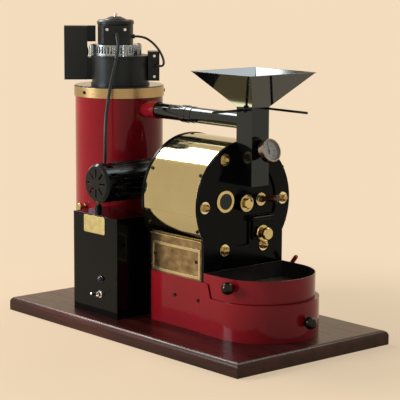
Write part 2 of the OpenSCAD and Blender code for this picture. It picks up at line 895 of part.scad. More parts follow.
// The gate's rod, bent forward into a lever, with the flap that closes the chute
module gate_lever() {
  bend = 7;
  color([0.08, 0.08, 0.08]) {
    round_x(chute_mid, gate_height, gate_rod_dia / 2, gate_left_x, gate_arm_x - bend);
    translate([gate_arm_x - bend, chute_mid - bend, gate_height])
      rotate_extrude(angle = 90) translate([bend, 0]) circle(d = gate_rod_dia);
    round_y(gate_arm_x, gate_height, gate_rod_dia / 2, chute_mid - gate_reach,
            chute_mid - bend);
    translate([centre_x - gate_side / 2, chute_mid - gate_side / 2,
               gate_height - gate_thick / 2])
      cube([gate_side, gate_side, gate_thick]);
  }
}

// ---------- Thermometer ----------

// Places children on the dial's tilted axis, with +Z outwards from its face
module on_dial_axis() {
  translate([dial_x, dial_y, dial_height]) rotate([90 - dial_tilt, 0, 0]) children();
}

// The dial's can with its bezel, its back boss and the stem that reaches into the chute
module thermometer_case() {
  rim = dial_dia / 2;
  stem = stem_dia / 2;
  color([0.75, 0.75, 0.77])
    on_dial_axis() rotate_extrude()
      polygon([[0, -52], [stem - 1, -52], [stem, -51], [stem, -dial_depth - 6],
               [8, -dial_depth - 6], [8, -dial_depth], [rim - 1, -dial_depth],
               [rim - 1, -4], [rim, -4], [rim, -1], [rim - 1, 0], [rim - 3, 0],
               [rim - 3, -1.5], [rim - dial_wall, -1.5],
               [rim - dial_wall, dial_wall - dial_depth], [0, dial_wall - dial_depth]]);
}

module thermometer_dial() {
  color([0.93, 0.93, 0.91])
    on_dial_axis() translate([0, 0, dial_wall - dial_depth]) difference() {
      cylinder(r = dial_dia / 2 - dial_wall, h = 3);
      translate([0, 0, -cut]) cylinder(r = 1 + running_gap, h = 3 + 2 * cut);
    }
}

// The pointer, its counterweight tail and the pin that it turns on
module thermometer_needle() {
  face = dial_wall - dial_depth + 3;
  color([0.06, 0.06, 0.06])
    on_dial_axis() {
      translate([0, 0, face - 2.7]) cylinder(r = 1, h = 5, $fn = 32);
      translate([0, 0, face + 0.9]) cylinder(r = 2.4, h = 1.6, $fn = 32);
      translate([0, 0, face + 0.9]) linear_extrude(height = 0.9)
        polygon([[-1.2, -6], [1.2, -6], [0.9, 0], [0.25, 16], [-0.25, 16], [-0.9, 0]]);
    }
}

module thermometer_lens() {
  color([0.85, 0.88, 0.90])
    on_dial_axis() translate([0, 0, -3]) cylinder(r = dial_dia / 2 - dial_wall, h = 1.5);
}

// ---------- Exhaust pipe and cyclone ----------

// The pipe from the chute to the cyclone, with its coupling ring
module exhaust_pipe() {
  back = cyclone_y - cyclone_radius - 12;
  color([0.08, 0.08, 0.08])
    difference() {
      union() {
        round_y(centre_x, pipe_height, pipe_dia / 2, plate_face, back);
        round_y(centre_x, pipe_height, pipe_dia / 2 + 5, plate_face, plate_face + 3);
        round_y(centre_x, pipe_height, pipe_dia / 2 + 1, coupling_y - 18, coupling_y);
        round_y(centre_x, pipe_height, pipe_dia / 2 + 2, coupling_y, coupling_y + 16);
      }
      round_y(centre_x, pipe_height, pipe_dia / 2 - 1.5, plate_face - cut, back + cut);
    }
}

// The cyclone's drum with its floor and the inlet stub that takes the pipe
module cyclone_body() {
  face = cyclone_y - cyclone_radius;
  color([0.55, 0.10, 0.14])
    difference() {
      union() {
        translate([centre_x, cyclone_y, board_thick])
          cylinder(r = cyclone_radius, h = cyclone_top - board_thick, $fn = 128);
        round_y(centre_x, pipe_height, pipe_dia / 2 + stub_wall, face - stub_reach, face + 20);
      }
      translate([centre_x, cyclone_y, board_thick + 3])
        cylinder(r = cyclone_radius - sheet, h = cyclone_top, $fn = 128);
      round_y(centre_x, pipe_height, pipe_dia / 2, face - stub_reach - cut, face + 21);
      round_x(cyclone_y, 230, 2.5, centre_x - cyclone_radius - cut,
              centre_x - cyclone_radius + 10);
    }
}

// The lid with its skirt, and the vortex tube under the blower's inlet
module cyclone_lid() {
  color([0.07, 0.07, 0.07])
    difference() {
      union() {
        translate([centre_x, cyclone_y, cyclone_top]) difference() {
          cylinder(r = cyclone_radius, h = lid_top - cyclone_top, $fn = 128);
          translate([0, 0, -cut])
            cylinder(r = cyclone_radius - sheet, h = lid_top - cyclone_top - 3 + cut, $fn = 128);
        }
        translate([blower_x, blower_y, lid_top - 100]) cylinder(r = inlet_radius + 1.5, h = 99);
      }
      translate([blower_x, blower_y, lid_top - 100 - cut])
        cylinder(r = inlet_radius, h = 100 + 2 * cut);
    }
}

// The brass band round the lid's skirt, held by three screws
module cyclone_band() {
  color([0.66, 0.58, 0.36])
    translate([centre_x, cyclone_y, cyclone_top]) {
      rotate_extrude($fn = 128)
        polygon([[cyclone_radius, 0], [cyclone_radius + 2.1, 0],
                 [cyclone_radius + 2.1, band_height], [cyclone_radius, band_height]]);
      for (a = [183, 323, 73])
        rotate([0, 0, a]) translate([cyclone_radius + 2, 0, band_height / 2])
          rotate([0, 90, 0]) cylinder(d = screw_dia, h = 2, $fn = 32);
    }
}

// The turned brass knob on the cyclone's left side, on its stud
module latch_knob() {
  color([0.78, 0.68, 0.40])
    translate([centre_x - cyclone_radius, cyclone_y, 230]) rotate([0, -90, 0]) {
      translate([0, 0, -8]) cylinder(d = 5, h = 10);
      rotate_extrude()
        polygon([[0, 0.4], [6, 0.4], [5, 3], [4.5, 6], [7.5, 8], [8.5, 10], [8.5, 15],
                 [7.5, 17], [0, 18]]);
    }
}

// ---------- Blower ----------

// Places children in the blower's turned frame, at a height above the table
module in_blower(z) {
  translate([blower_x, blower_y, z]) rotate([0, 0, -blower_turn]) children();
}

scroll_shift = 10;
duct_front = 14;
duct_back = 50;
duct_reach = 60;
exhaust_left = 110;
exhaust_neck = 42;
exhaust_low = lid_top + 9;
exhaust_step = lid_top + 90;
exhaust_recess = 15;
exhaust_high = lid_top + 124;
collar_x = -82;
collar_z = (exhaust_low + exhaust_high) / 2;

// The scroll's duct that leads to the exhaust box
module scroll_duct(inset) {
  translate([-duct_reach, duct_front + inset, exhaust_low + inset - lid_top])
    cube([duct_reach, duct_back - duct_front - 2 * inset, scroll_height - 15 - 2 * inset]);
}

// The cast scroll with its flanges and its duct
module blower_scroll() {
  color([0.06, 0.06, 0.06])
    in_blower(lid_top) difference() {
      union() {
        translate([scroll_shift, 0, 0]) cylinder(r = scroll_radius, h = scroll_height, $fn = 96);
        for (z = [0, scroll_height - 4])
          translate([scroll_shift, 0, z]) cylinder(r = scroll_radius + 2, h = 4, $fn = 96);
        scroll_duct(0);
      }
      translate([scroll_shift, 0, 3])
        cylinder(r = scroll_radius - 3, h = scroll_height - 6, $fn = 96);
      translate([0, 0, -cut]) cylinder(r = inlet_radius, h = 3 + 2 * cut);
      translate([0, 0, scroll_height - 3 - cut]) cylinder(r = 12, h = 3 + 2 * cut);
      translate([-cut, 0, 0]) scroll_duct(sheet);
    }
}

// The impeller with its swept blades on the motor's shaft
module blower_rotor() {
  top = lid_top + 8 + impeller_height;
  color([0.55, 0.56, 0.58])
    in_blower(0) {
      translate([0, 0, top - 2]) cylinder(r = impeller_radius, h = 2);
      translate([0, 0, lid_top + 14]) cylinder(r = 10, h = top - lid_top - 14);
      for (i = [0 : impeller_blades - 1])
        rotate([0, 0, i * 360 / impeller_blades])
          translate([impeller_radius / 2, 0, lid_top + 8]) rotate([0, 0, 35])
            cube([22, 1.6, impeller_height - 1]);
      translate([0, 0, top - 2]) cylinder(d = rotor_dia, h = motor_top + 14 - top + 2);
    }
}

// The slotted ring that spaces the motor off the scroll, with four screwed lugs
module vent_ring() {
  outer = blower_radius + 11;
  color([0.78, 0.79, 0.80])
    in_blower(scroll_top) {
      difference() {
        union() {
          cylinder(r = outer, h = vent_height, $fn = 96);
          for (a = [20 : 90 : 290])
            rotate([0, 0, a]) translate([outer + 5, 0, 0]) {
              cylinder(r = 6, h = vent_height - 2);
              translate([0, 0, vent_height - 2]) cylinder(r = 4, h = 3, $fn = 32);
            }
        }
        translate([0, 0, -cut]) cylinder(r = outer - 2.5, h = vent_height - 2 + cut, $fn = 96);
        translate([0, 0, -cut]) cylinder(r = 12, h = vent_height + 2 * cut);
        for (i = [0 : vent_slots - 1])
          rotate([0, 0, (i + 0.5) * 360 / vent_slots]) translate([outer - 8, -1.75, 5])
            cube([9, 3.5, vent_height - 9]);
      }
    }
}

// The blower motor with its cap rim and conical boss, bored for the shaft
module blower_motor() {
  r = blower_radius;
  bore = rotor_dia / 2 + running_gap;
  h = blower_height;
  color([0.13, 0.13, 0.14])
    in_blower(vent_top) difference() {
      union() {
        rotate_extrude($fn = 96)
          polygon([[bore, 0], [r - 2, 0], [r, 2], [r, h - 10], [r + 1.5, h - 9],
                   [r + 1.5, h - 3], [r - 1.5, h], [24, h], [22, h + 2], [11, h + 7],
                   [bore, h + 7]]);
        translate([r - 6, capacitor_route_y, capacitor_exit]) rotate([0, 90, 0])
          cylinder(r = 4.5, h = 9);
      }
      translate([r - 1, capacitor_route_y, capacitor_exit]) rotate([0, 90, 0])
        cylinder(d = capacitor_lead_dia, h = 9);
    }
}

// The cover over the motor's terminals, with two screws and the lead's gland
module terminal_cover() {
  color([0.10, 0.10, 0.11])
    in_blower(vent_top) difference() {
      union() {
        translate([-terminal_width / 2, -terminal_face, 0])
          cube([terminal_width, 22, terminal_height]);
        for (x = [-19, 19])
          translate([x, -terminal_face, terminal_height - 8]) facing_front()
            cylinder(r = 3, h = 1.8, $fn = 32);
        translate([1, -terminal_face, terminal_height - 16]) facing_front()
          cylinder(r = 6, h = 6);
      }
      translate([0, 0, -cut]) cylinder(r = blower_radius, h = terminal_height + 2 * cut, $fn = 96);
      translate([1, 0, terminal_height - 16]) translate([0, cut - terminal_face, 0])
        facing_front() cylinder(d = lead_dia, h = 20);
    }
}

// The stepped exhaust box with its round outlet collar at the back
module exhaust_box() {
  color([0.07, 0.07, 0.08])
    in_blower(0) difference() {
      union() {
        exhaust_body(0);
        translate([collar_x, duct_back, collar_z]) rotate([-90, 0, 0])
          cylinder(r = 25, h = 10);
      }
      exhaust_body(sheet);
      translate([collar_x, duct_back - sheet - cut, collar_z]) rotate([-90, 0, 0])
        cylinder(r = 22.5, h = 10 + sheet + 2 * cut);
      translate([0, 0, lid_top]) scroll_duct(sheet);
      translate([-duct_reach - sheet - cut, duct_front + sheet, exhaust_low + sheet])
        cube([2 * sheet + cut, duct_back - duct_front - 2 * sheet, scroll_height - 15 - 2 * sheet]);
    }
}

module exhaust_body(inset) {
  front = duct_front - 2 + inset;
  depth = duct_back - duct_front + 2 - 2 * inset;
  translate([-exhaust_left + inset, front, exhaust_low + inset])
    cube([exhaust_left - duct_reach - 2 * inset, depth, exhaust_high - exhaust_low - 2 * inset]);
  translate([-exhaust_left + inset, front + exhaust_recess, exhaust_step + inset])
    cube([exhaust_left - exhaust_neck - 2 * inset, depth - exhaust_recess,
          exhaust_high - exhaust_step - 2 * inset]);
}

// The capacitor's box on the scroll's right side, with two screws and a gland
module capacitor_box() {
  color([0.08, 0.08, 0.08])
    in_blower(exhaust_low) difference() {
      union() {
        translate([60, -24, 0]) cube([33, 44, 62]);
        for (z = [9, 53])
          translate([82, -24, z]) facing_front() cylinder(r = 3, h = 1.8, $fn = 32);
        translate([capacitor_gland_x, -24, 33]) facing_front() cylinder(r = 4.5, h = 3);
      }
      translate([scroll_shift, 0, -lid_top]) cylinder(r = scroll_radius + 2, h = 2 * lid_top);
      translate([capacitor_gland_x, -24, 33]) facing_front()
        cylinder(d = capacitor_lead_dia, h = 10);
    }
}

// ---------- Leads ----------

lead_dia = 7;
capacitor_lead_dia = 5;
lead_sides = 12;
lead_steps = 3;
capacitor_route_y = -10;
capacitor_gland_x = 85;

// Turns a point of the blower's frame into the machine's frame
function from_blower(x, y, z) =
  [blower_x + x * cos(blower_turn) + y * sin(blower_turn),
   blower_y - x * sin(blower_turn) + y * cos(blower_turn), z];

lead_exit_height = vent_top + terminal_height - 16;
gland_x = -110;
gland_y = 170;

// From the terminal cover, down behind the drum motor, to the control box's gland
blower_route = [from_blower(1, -terminal_face, lead_exit_height),
                from_blower(1, -terminal_face - 9, lead_exit_height),
                [-33, 206, 592], [-35, 200, 578], [-38, 196, 563], [-46, 191, 547],
                [-56, 185, 528], [-67, 179, 509], [-77, 173, 488], [-88, 166, 460],
                [-98, 159, 433], [-104, 154, 408], [-107, 151, 380], [-108, 151, 345],
                [-109, 154, 310], [-110, 163, 276],
                [gland_x, gland_y, control_top + 16], [gland_x, gland_y, control_top]];

// Height of the motor's gland above the vent ring
capacitor_exit = 17;

// From the motor's right side round to the capacitor box's front, in the blower's frame
capacitor_route = [[blower_radius - 1, capacitor_route_y, vent_top + capacitor_exit],
                   [blower_radius + 9, capacitor_route_y, vent_top + capacitor_exit],
                   [63, -14, 587], [76, -20, 579], [87, -27, 568], [95, -33, 556],
                   [100, -38, 544], [101, -41, 534], [97, -42, 529],
                   [capacitor_gland_x + 3, -40, exhaust_low + 33],
                   [capacitor_gland_x, -35, exhaust_low + 33],
                   [capacitor_gland_x, -24, exhaust_low + 33]];

function unit(v) = v / norm(v);

// A point on the smooth curve between points i and i + 1 of a route
function curve_point(route, i, t) =
  let (a = route[max(i - 1, 0)],
       b = route[i],
       c = route[i + 1],
       d = route[min(i + 2, len(route) - 1)])
  b + 0.5 * t * (c - a) + t * t * (a - 2.5 * b + 2 * c - 0.5 * d)
    + t * t * t * (1.5 * b - 0.5 * a - 1.5 * c + 0.5 * d);

// A route with its inner stretches smoothed, and its first and last ones straight
function smooth(route) =
  [route[0],
   for (i = [1 : len(route) - 3])
     for (k = [0 : lead_steps - 1]) curve_point(route, i, k / lead_steps),
   route[len(route) - 2],
   route[len(route) - 1]];

function heading(path, i) =
  unit(path[min(i + 1, len(path) - 1)] - path[max(i - 1, 0)]);

// One ring of a tube, square to the path; the side vector never lies along the path
function ring(path, i, radius, side) =
  let (along = heading(path, i),
       n = unit(cross(side, along)),
       b = cross(along, n))
  [for (k = [0 : lead_sides - 1])
     path[i] + radius * (cos(k * 360 / lead_sides) * n + sin(k * 360 / lead_sides) * b)];

// A round lead swept along a path
module tube(path, diameter, side) {
  rings = len(path);
  points = [for (i = [0 : rings - 1]) each ring(path, i, diameter / 2, side)];
  walls = [for (i = [0 : rings - 2])
             for (k = [0 : lead_sides - 1])
               let (a = i * lead_sides + k,
                    b = i * lead_sides + (k + 1) % lead_sides)
               each [[a, a + lead_sides, b + lead_sides], [a, b + lead_sides, b]]];
  first = [for (k = [0 : lead_sides - 1]) k];
  last = [for (k = [lead_sides - 1 : -1 : 0]) (rings - 1) * lead_sides + k];
  polyhedron(points = points, faces = concat(walls, [first], [last]));
}

module blower_lead() {
  color([0.03, 0.03, 0.03])
    tube(smooth(blower_route), lead_dia, from_blower(1, 0, 0) - from_blower(0, 0, 0));
}

module capacitor_lead() {
  color([0.03, 0.03, 0.03])
    in_blower(0) tube(smooth(capacitor_route), capacitor_lead_dia, [1, 1, 1]);
}

// ---------- Control box ----------

// The sheet-metal box, open to the board, with its folded cover's seams, the lead's gland
// and the mains inlet in its back
module control_box() {
  left = control_left;
  right = control_left + control_width;
  back = control_front + control_length;
  inlet_x = (left + right) / 2;
  inlet_z = board_thick + 30;
  color([0.05, 0.05, 0.05])
    difference() {
      union() {
        difference() {
          translate([left, control_front, board_thick])
            cube([control_width, control_length, control_height]);
          translate([left + sheet, control_front + sheet, board_thick - cut])
            cube([control_width - 2 * sheet, control_length - 2 * sheet,
                  control_height - sheet + cut]);
        }
        translate([gland_x, gland_y, control_top]) cylinder(r = 6.5, h = 10);
        translate([inlet_x - 16, back - 20, inlet_z - 2]) cube([32, 20, 25]);
      }
      for (y = [control_front + 3, back - 3.6])
        translate([left - cut, y, board_thick + 4])
          cube([cut + 0.5, 0.6, control_height - 8]);
      translate([gland_x, gland_y, control_top]) cylinder(d = lead_dia, h = 20);
      translate([inlet_x - 14, back - 14, inlet_z]) difference() {
        cube([28, 15, 21]);
        for (x = [7, 14, 21])
          translate([x - 1, 0, x == 14 ? 11 : 8]) cube([2, 10, 5]);
      }
      round_x(lamp_y, lamp_z, 5, left - cut, left + sheet + cut);
      round_x(switch_y, switch_z, 5, left - cut, left + sheet + cut);
    }
}

lamp_y = 100;
lamp_z = 105.5;
switch_y = 102.4;
switch_z = 72.7;

// A bare brass face plate on the box's left side
module face_plate() {
  color([0.80, 0.70, 0.40])
    union() {
      translate([control_left - 1.2, 87, control_top - 34]) cube([1.2, 70, 28]);
      translate([control_left - 1.2, 91, control_top - 38]) cube([1.2, 62, 36]);
      for (y = [91, 153])
        for (z = [control_top - 34, control_top - 6])
          round_x(y, z, 4, control_left - 1.2, control_left);
    }
}

module pilot_lamp() {
  color([0.75, 0.20, 0.12])
    translate([control_left, lamp_y, lamp_z]) rotate([0, -90, 0]) rotate_extrude()
      polygon([[0, -8], [5, -8], [5, 0], [7, 0], [7, 2], [5.5, 2.5], [5.5, 5],
               [4.4, 7], [2.4, 8.2], [0, 8.6]]);
}

// The toggle switch's threaded bush and nut
module toggle_bush() {
  color([0.78, 0.78, 0.80])
    difference() {
      union() {
        round_x(switch_y, switch_z, 5, control_left - 9, control_left + 12);
        translate([control_left - 2.5, switch_y, switch_z]) rotate([0, 90, 0])
          cylinder(r = 8, h = 2.5, $fn = 6);
      }
      round_x(switch_y, switch_z, 4.2, control_left - 10, control_left);
    }
}

// The toggle's bat with its ball and the pin that it turns on
module toggle_lever() {
  color([0.82, 0.82, 0.84])
    translate([control_left - 4.5, switch_y, switch_z]) {
      rotate([0, -78, 0]) rotate_extrude()
        polygon([[0, -3.6], [2.5, -2.6], [3.6, 0], [2.5, 2.6], [1.6, 3.4], [1.8, 10],
                 [2.9, 19], [2.5, 21], [0, 22]]);
      round_y(0, 0, 1.5, -3.8, 3.8);
    }
}

// ---------- Cooling tray and its housing ----------

// A D-shaped outline with its round side to the front
module d_outline(radius, arc_y, back) {
  translate([centre_x, arc_y]) intersection() {
    circle(r = radius, $fn = 128);
    translate([-radius, -radius]) square([2 * radius, radius]);
  }
  translate([centre_x - radius, arc_y]) square([2 * radius, back - arc_y]);
}

// The tray's wall and rim, with the ledge for its floor and the spigot that locates it
module cooling_tray() {
  color([0.50, 0.09, 0.13])
    difference() {
      union() {
        translate([0, 0, tray_base]) linear_extrude(height = tray_rim - tray_base)
          d_outline(tray_radius, tray_arc_y, tray_back);
        translate([0, 0, tray_base - spigot_drop]) linear_extrude(height = spigot_drop + 1)
          d_outline(deck_opening - tray_gap, tray_arc_y, tray_back - 16);
      }
      translate([0, 0, floor_height]) linear_extrude(height = tray_rim)
        d_outline(tray_radius - tray_wall, tray_arc_y, tray_back - tray_wall);
      translate([0, 0, tray_base + 2]) linear_extrude(height = floor_height - tray_base - 4)
        d_outline(tray_radius - tray_wall, tray_arc_y, tray_back - tray_wall);
      translate([0, 0, tray_base - 10]) linear_extrude(height = 40)
        d_outline(deck_opening - 2, tray_arc_y, tray_back - 18);
      translate([centre_x, tray_arc_y, knob_height]) rotate([0, 0, tray_knob_angle])
        rotate([0, 90, 0]) cylinder(d = 6, h = tray_radius + 5);
    }
}

knob_height = 134;
tray_knob_angle = 194;
housing_knob_angle = -86;

// The perforated floor that holds the beans over the air duct
module tray_floor() {
  pitch = 2 * deck_opening / (floor_holes + 1);
  half = (floor_holes - 1) / 2;
  color([0.20, 0.20, 0.21])
    translate([0, 0, floor_height]) linear_extrude(height = 1.2) difference() {
      d_outline(tray_radius - tray_wall, tray_arc_y, tray_back - tray_wall);
      for (i = [-half : half])
        for (j = [-half : half])
          if (norm([i, min(j, 0)]) < half && tray_arc_y + j * pitch < tray_back - 22)
            translate([centre_x + i * pitch, tray_arc_y + j * pitch])
              circle(d = 5, $fn = 16);
    }
}

module tray_knob() {
  color([0.04, 0.04, 0.04])
    translate([centre_x, tray_arc_y, knob_height]) rotate([0, 0, tray_knob_angle])
      rotate([0, 90, 0]) {
        translate([0, 0, tray_radius - tray_wall]) cylinder(d = 6, h = 3);
        translate([0, 0, tray_radius]) ball_knob(13.6);
      }
}

// One rear tab of the housing in its side view, swept down to the deck by an S curve
module tab_outline() {
  top = plate_face - 13;
  drop = 12;
  polygon([[plate_back, board_thick], [plate_back, case_top], [top, case_top],
           for (t = [0.1 : 0.1 : 1])
             [top - drop * t,
              deck_height + (case_top - deck_height) * (1 + cos(180 * t)) / 2],
           [top - drop, board_thick]]);
}

// The tray's housing: a D-shaped wall under a deck with an air opening, and two rear tabs
module cooling_housing() {
  color([0.55, 0.10, 0.14])
    difference() {
      union() {
        translate([0, 0, board_thick]) linear_extrude(height = deck_height - board_thick)
          d_outline(housing_half, housing_arc_y, plate_face);
        for (x = [centre_x - housing_half, centre_x + housing_half - sheet])
          translate([x, 0, 0]) rotate([90, 0, 90]) linear_extrude(height = sheet)
            tab_outline();
      }
      translate([0, 0, board_thick - cut])
        linear_extrude(height = deck_height - board_thick - sheet + cut)
          d_outline(housing_half - sheet, housing_arc_y, plate_face + cut);
      translate([0, 0, board_thick]) linear_extrude(height = 2 * deck_height)
        d_outline(deck_opening, tray_arc_y, tray_back - 16 + tray_gap);
      translate([centre_x, housing_arc_y, knob_low]) rotate([0, 0, housing_knob_angle])
        rotate([0, 90, 0]) cylinder(d = 6, h = housing_half + 5);
      round_x(diverter_y, diverter_height, 3 + running_gap, centre_x + waist_half + 1,
              centre_x + housing_half + 5);
    }
}

knob_low = 66;

module housing_knob() {
  color([0.04, 0.04, 0.04])
    translate([centre_x, housing_arc_y, knob_low]) rotate([0, 0, housing_knob_angle])
      rotate([0, 90, 0]) {
        translate([0, 0, housing_half - sheet]) cylinder(d = 6, h = 3);
        translate([0, 0, housing_half]) ball_knob(14);
      }
}

// Places children on the diverter lever's axis, with +Z towards its grip
module on_diverter(x) {
  translate([x, diverter_y, diverter_height]) rotate([40, 0, 0]) children();
}

// The lever on its pin in the housing's right tab
module diverter_lever() {
  tab = centre_x + housing_half;
  color([0.60, 0.61, 0.63]) {
    round_x(diverter_y, diverter_height, 3, tab - sheet - 1, tab + 10);
    round_x(diverter_y, diverter_height, 6.5, tab + 0.4, tab + 10);
    on_diverter(tab + 6.5) cylinder(d = 5, h = diverter_reach + 15);
  }
}

module diverter_grip() {
  color([0.65, 0.08, 0.08])
    on_diverter(centre_x + housing_half + 6.5) rotate_extrude()
      polygon([[2.5, diverter_reach], [3.8, diverter_reach], [4.5, diverter_reach + 1.5],
               [4.5, diverter_reach + 19], [3.4, diverter_reach + 22],
               [0, diverter_reach + 22.6], [0, diverter_reach + 15],
               [2.5, diverter_reach + 15]]);
}

base_board();
lower_case();
apron_panels();
drum_jacket();
case_screws();
front_plate();
front_cover();
tie_rods();
sight_glass_ring();
sight_glass();
front_bearing();
trier_bush();
trier_tube();
trier_handle();
discharge_door();
discharge_knob();
door_pin();
rear_plate();
roasting_drum();
drum_shaft();
rear_bearing();
heating_elements();
gearbox_case();
worm_wheel();
worm_shaft();
drive_motor();
motor_end_bell();
feed_chute();
hopper();
gate_lever();
thermometer_case();
thermometer_dial();
thermometer_needle();
thermometer_lens();
exhaust_pipe();
cyclone_body();
cyclone_lid();
cyclone_band();
latch_knob();
blower_scroll();
blower_rotor();
vent_ring();
blower_motor();
terminal_cover();
exhaust_box();
capacitor_box();
blower_lead();
capacitor_lead();
control_box();
face_plate();
pilot_lamp();
toggle_bush();
toggle_lever();
cooling_tray();
tray_floor();
tray_knob();
cooling_housing();
housing_knob();
diverter_lever();
diverter_grip();
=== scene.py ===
"""Home coffee bean roaster: a drum roaster, cyclone, blower and control box on one board."""

import json
import math

import bpy
from mathutils import Matrix, Vector


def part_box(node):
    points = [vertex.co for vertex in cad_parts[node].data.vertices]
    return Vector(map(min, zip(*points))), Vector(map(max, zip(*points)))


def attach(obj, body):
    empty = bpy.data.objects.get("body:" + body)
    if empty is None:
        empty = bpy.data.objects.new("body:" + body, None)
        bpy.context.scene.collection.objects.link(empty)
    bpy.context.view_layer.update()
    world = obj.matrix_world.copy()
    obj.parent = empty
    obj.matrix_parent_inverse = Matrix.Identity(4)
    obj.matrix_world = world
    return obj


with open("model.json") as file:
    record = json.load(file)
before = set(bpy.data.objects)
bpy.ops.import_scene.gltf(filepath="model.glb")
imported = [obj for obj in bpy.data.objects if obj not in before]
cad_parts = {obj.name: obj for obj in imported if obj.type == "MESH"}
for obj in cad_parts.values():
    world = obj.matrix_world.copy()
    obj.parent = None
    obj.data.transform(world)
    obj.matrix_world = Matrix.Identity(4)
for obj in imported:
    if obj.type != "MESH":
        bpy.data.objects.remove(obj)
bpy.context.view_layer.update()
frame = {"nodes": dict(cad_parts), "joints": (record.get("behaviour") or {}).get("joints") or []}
nodes = frame["nodes"]

# ---------------------------------------------------------------- camera
# A long lens stands left of the machine's front and a little above it,
# 3.2 m away, so that the board's edges nearly keep their own directions.
camera_place = Vector((-2.0884, -2.4480, 0.7746))
camera_yaw = math.radians(40.776)
camera_pitch = math.radians(8.987)
camera_roll = math.radians(0.287)
forward = Vector((math.sin(camera_yaw) * math.cos(camera_pitch),
                  math.cos(camera_yaw) * math.cos(camera_pitch),
                  -math.sin(camera_pitch)))
level_right = Vector((math.cos(camera_yaw), -math.sin(camera_yaw), 0.0))
level_up = level_right.cross(forward)
right = math.cos(camera_roll) * level_right + math.sin(camera_roll) * level_up
up = math.cos(camera_roll) * level_up - math.sin(camera_roll) * level_right
camera = bpy.data.objects.new("camera", bpy.data.cameras.new("camera"))
camera.data.sensor_width = 36.0
camera.data.lens = 142.65
camera.data.clip_end = 50.0
camera.matrix_world = Matrix.Translation(camera_place) @ Matrix(
    (right, up, -forward)).transposed().to_4x4()
bpy.context.scene.collection.objects.link(camera)
bpy.context.scene.camera = camera
bpy.context.scene.view_settings.view_transform = "Standard"

# ---------------------------------------------------------------- room
# A warm cream sweep stands in for a studio's paper roll. The floor takes the
# shadow, and the room shows its cream to the lens and in the polished metal.
cream = (0.896, 0.716, 0.508, 1.0)
room_light = (1.0, 0.97, 0.92, 1.0)
room_strength = 0.16
floor_height = -0.0005
floor_reach = 14.0
floor_glow_near = 0.55
floor_glow_starts = 0.35
floor_glow_full = 1.0


def maths(tree, operation, *values):
    """One step of arithmetic on sockets and plain numbers."""
    node = tree.nodes.new("ShaderNodeMath")
    node.operation = operation
    for socket, value in zip(node.inputs, values):
        if isinstance(value, (int, float)):
            socket.default_value = value
        else:
            tree.links.new(value, socket)
    return node.outputs[0]


def stepped(tree, value, start, end, low, high):
    """Low before the start of a span, high past its end, and even between them."""
    step = tree.nodes.new("ShaderNodeMapRange")
    step.inputs["From Min"].default_value = start
    step.inputs["From Max"].default_value = end
    step.inputs["To Min"].default_value = low
    step.inputs["To Max"].default_value = high
    tree.links.new(value, step.inputs["Value"])
    return step.outputs["Result"]


def room_world():
    world = bpy.data.worlds.new("room")
    world.use_nodes = True
    tree = world.node_tree
    tree.nodes.clear()
    rays = tree.nodes.new("ShaderNodeLightPath")
    through = maths(tree, "MAXIMUM", rays.outputs["Is Glossy Ray"],
                    rays.outputs["Is Transmission Ray"])
    seen = maths(tree, "MAXIMUM", rays.outputs["Is Camera Ray"], through)
    light = tree.nodes.new("ShaderNodeBackground")
    light.inputs["Color"].default_value = room_light
    light.inputs["Strength"].default_value = room_strength
    paper = tree.nodes.new("ShaderNodeBackground")
    paper.inputs["Color"].default_value = cream
    paper.inputs["Strength"].default_value = 1.0
    mix = tree.nodes.new("ShaderNodeMixShader")
    tree.links.new(seen, mix.inputs["Fac"])
    tree.links.new(light.outputs[0], mix.inputs[1])
    tree.links.new(paper.outputs[0], mix.inputs[2])
    out = tree.nodes.new("ShaderNodeOutputWorld")
    tree.links.new(mix.outputs[0], out.inputs["Surface"])
    return world


def floor_material():
    material = bpy.data.materials.new("paper_floor")
    material.use_nodes = True
    tree = material.node_tree
    tree.nodes.clear()
    rays = tree.nodes.new("ShaderNodeLightPath")
    matte = tree.nodes.new("ShaderNodeBsdfDiffuse")
    matte.inputs["Color"].default_value = cream
    glow = tree.nodes.new("ShaderNodeEmission")
    glow.inputs["Color"].default_value = cream
    glow.inputs["Strength"].default_value = 1.0
    place = tree.nodes.new("ShaderNodeTexCoord")
    away = tree.nodes.new("ShaderNodeVectorMath")
    away.operation = "LENGTH"
    tree.links.new(place.outputs["Object"], away.inputs[0])
    fade = stepped(tree, away.outputs["Value"], floor_glow_starts, floor_glow_full,
                   floor_glow_near, 1.0)
    fade.node.interpolation_type = "SMOOTHSTEP"
    seen = maths(tree, "MAXIMUM", rays.outputs["Is Camera Ray"], rays.outputs["Is Glossy Ray"])
    mix = tree.nodes.new("ShaderNodeMixShader")
    tree.links.new(maths(tree, "MULTIPLY", seen, fade), mix.inputs["Fac"])
    tree.links.new(matte.outputs[0], mix.inputs[1])
    tree.links.new(glow.outputs[0], mix.inputs[2])
    out = tree.nodes.new("ShaderNodeOutputMaterial")
    tree.links.new(mix.outputs[0], out.inputs["Surface"])
    return material


bpy.context.scene.world = room_world()
floor_mesh = bpy.data.meshes.new("floor")
floor_mesh.from_pydata([(-floor_reach, -floor_reach, floor_height),
                        (floor_reach, -floor_reach, floor_height),
                        (floor_reach, floor_reach, floor_height),
                        (-floor_reach, floor_reach, floor_height)],
                       [], [(0, 1, 2, 3)])
floor_mesh.materials.append(floor_material())
floor = bpy.data.objects.new("floor", floor_mesh)
bpy.context.scene.collection.objects.link(floor)


def softbox(name, place, aim, size, power):
    """A soft rectangular lamp that faces its aim."""
    lamp = bpy.data.lights.new(name, "AREA")
    lamp.shape = "RECTANGLE"
    lamp.size, lamp.size_y = size
    lamp.energy = power
    lamp.color = (1.0, 0.97, 0.93)
    holder = bpy.data.objects.new(name, lamp)
    look = (Vector(aim) - Vector(place)).normalized()
    holder.matrix_world = Matrix.Translation(place) @ look.to_track_quat(
        "-Z", "Y").to_matrix().to_4x4()
    bpy.context.scene.collection.objects.link(holder)


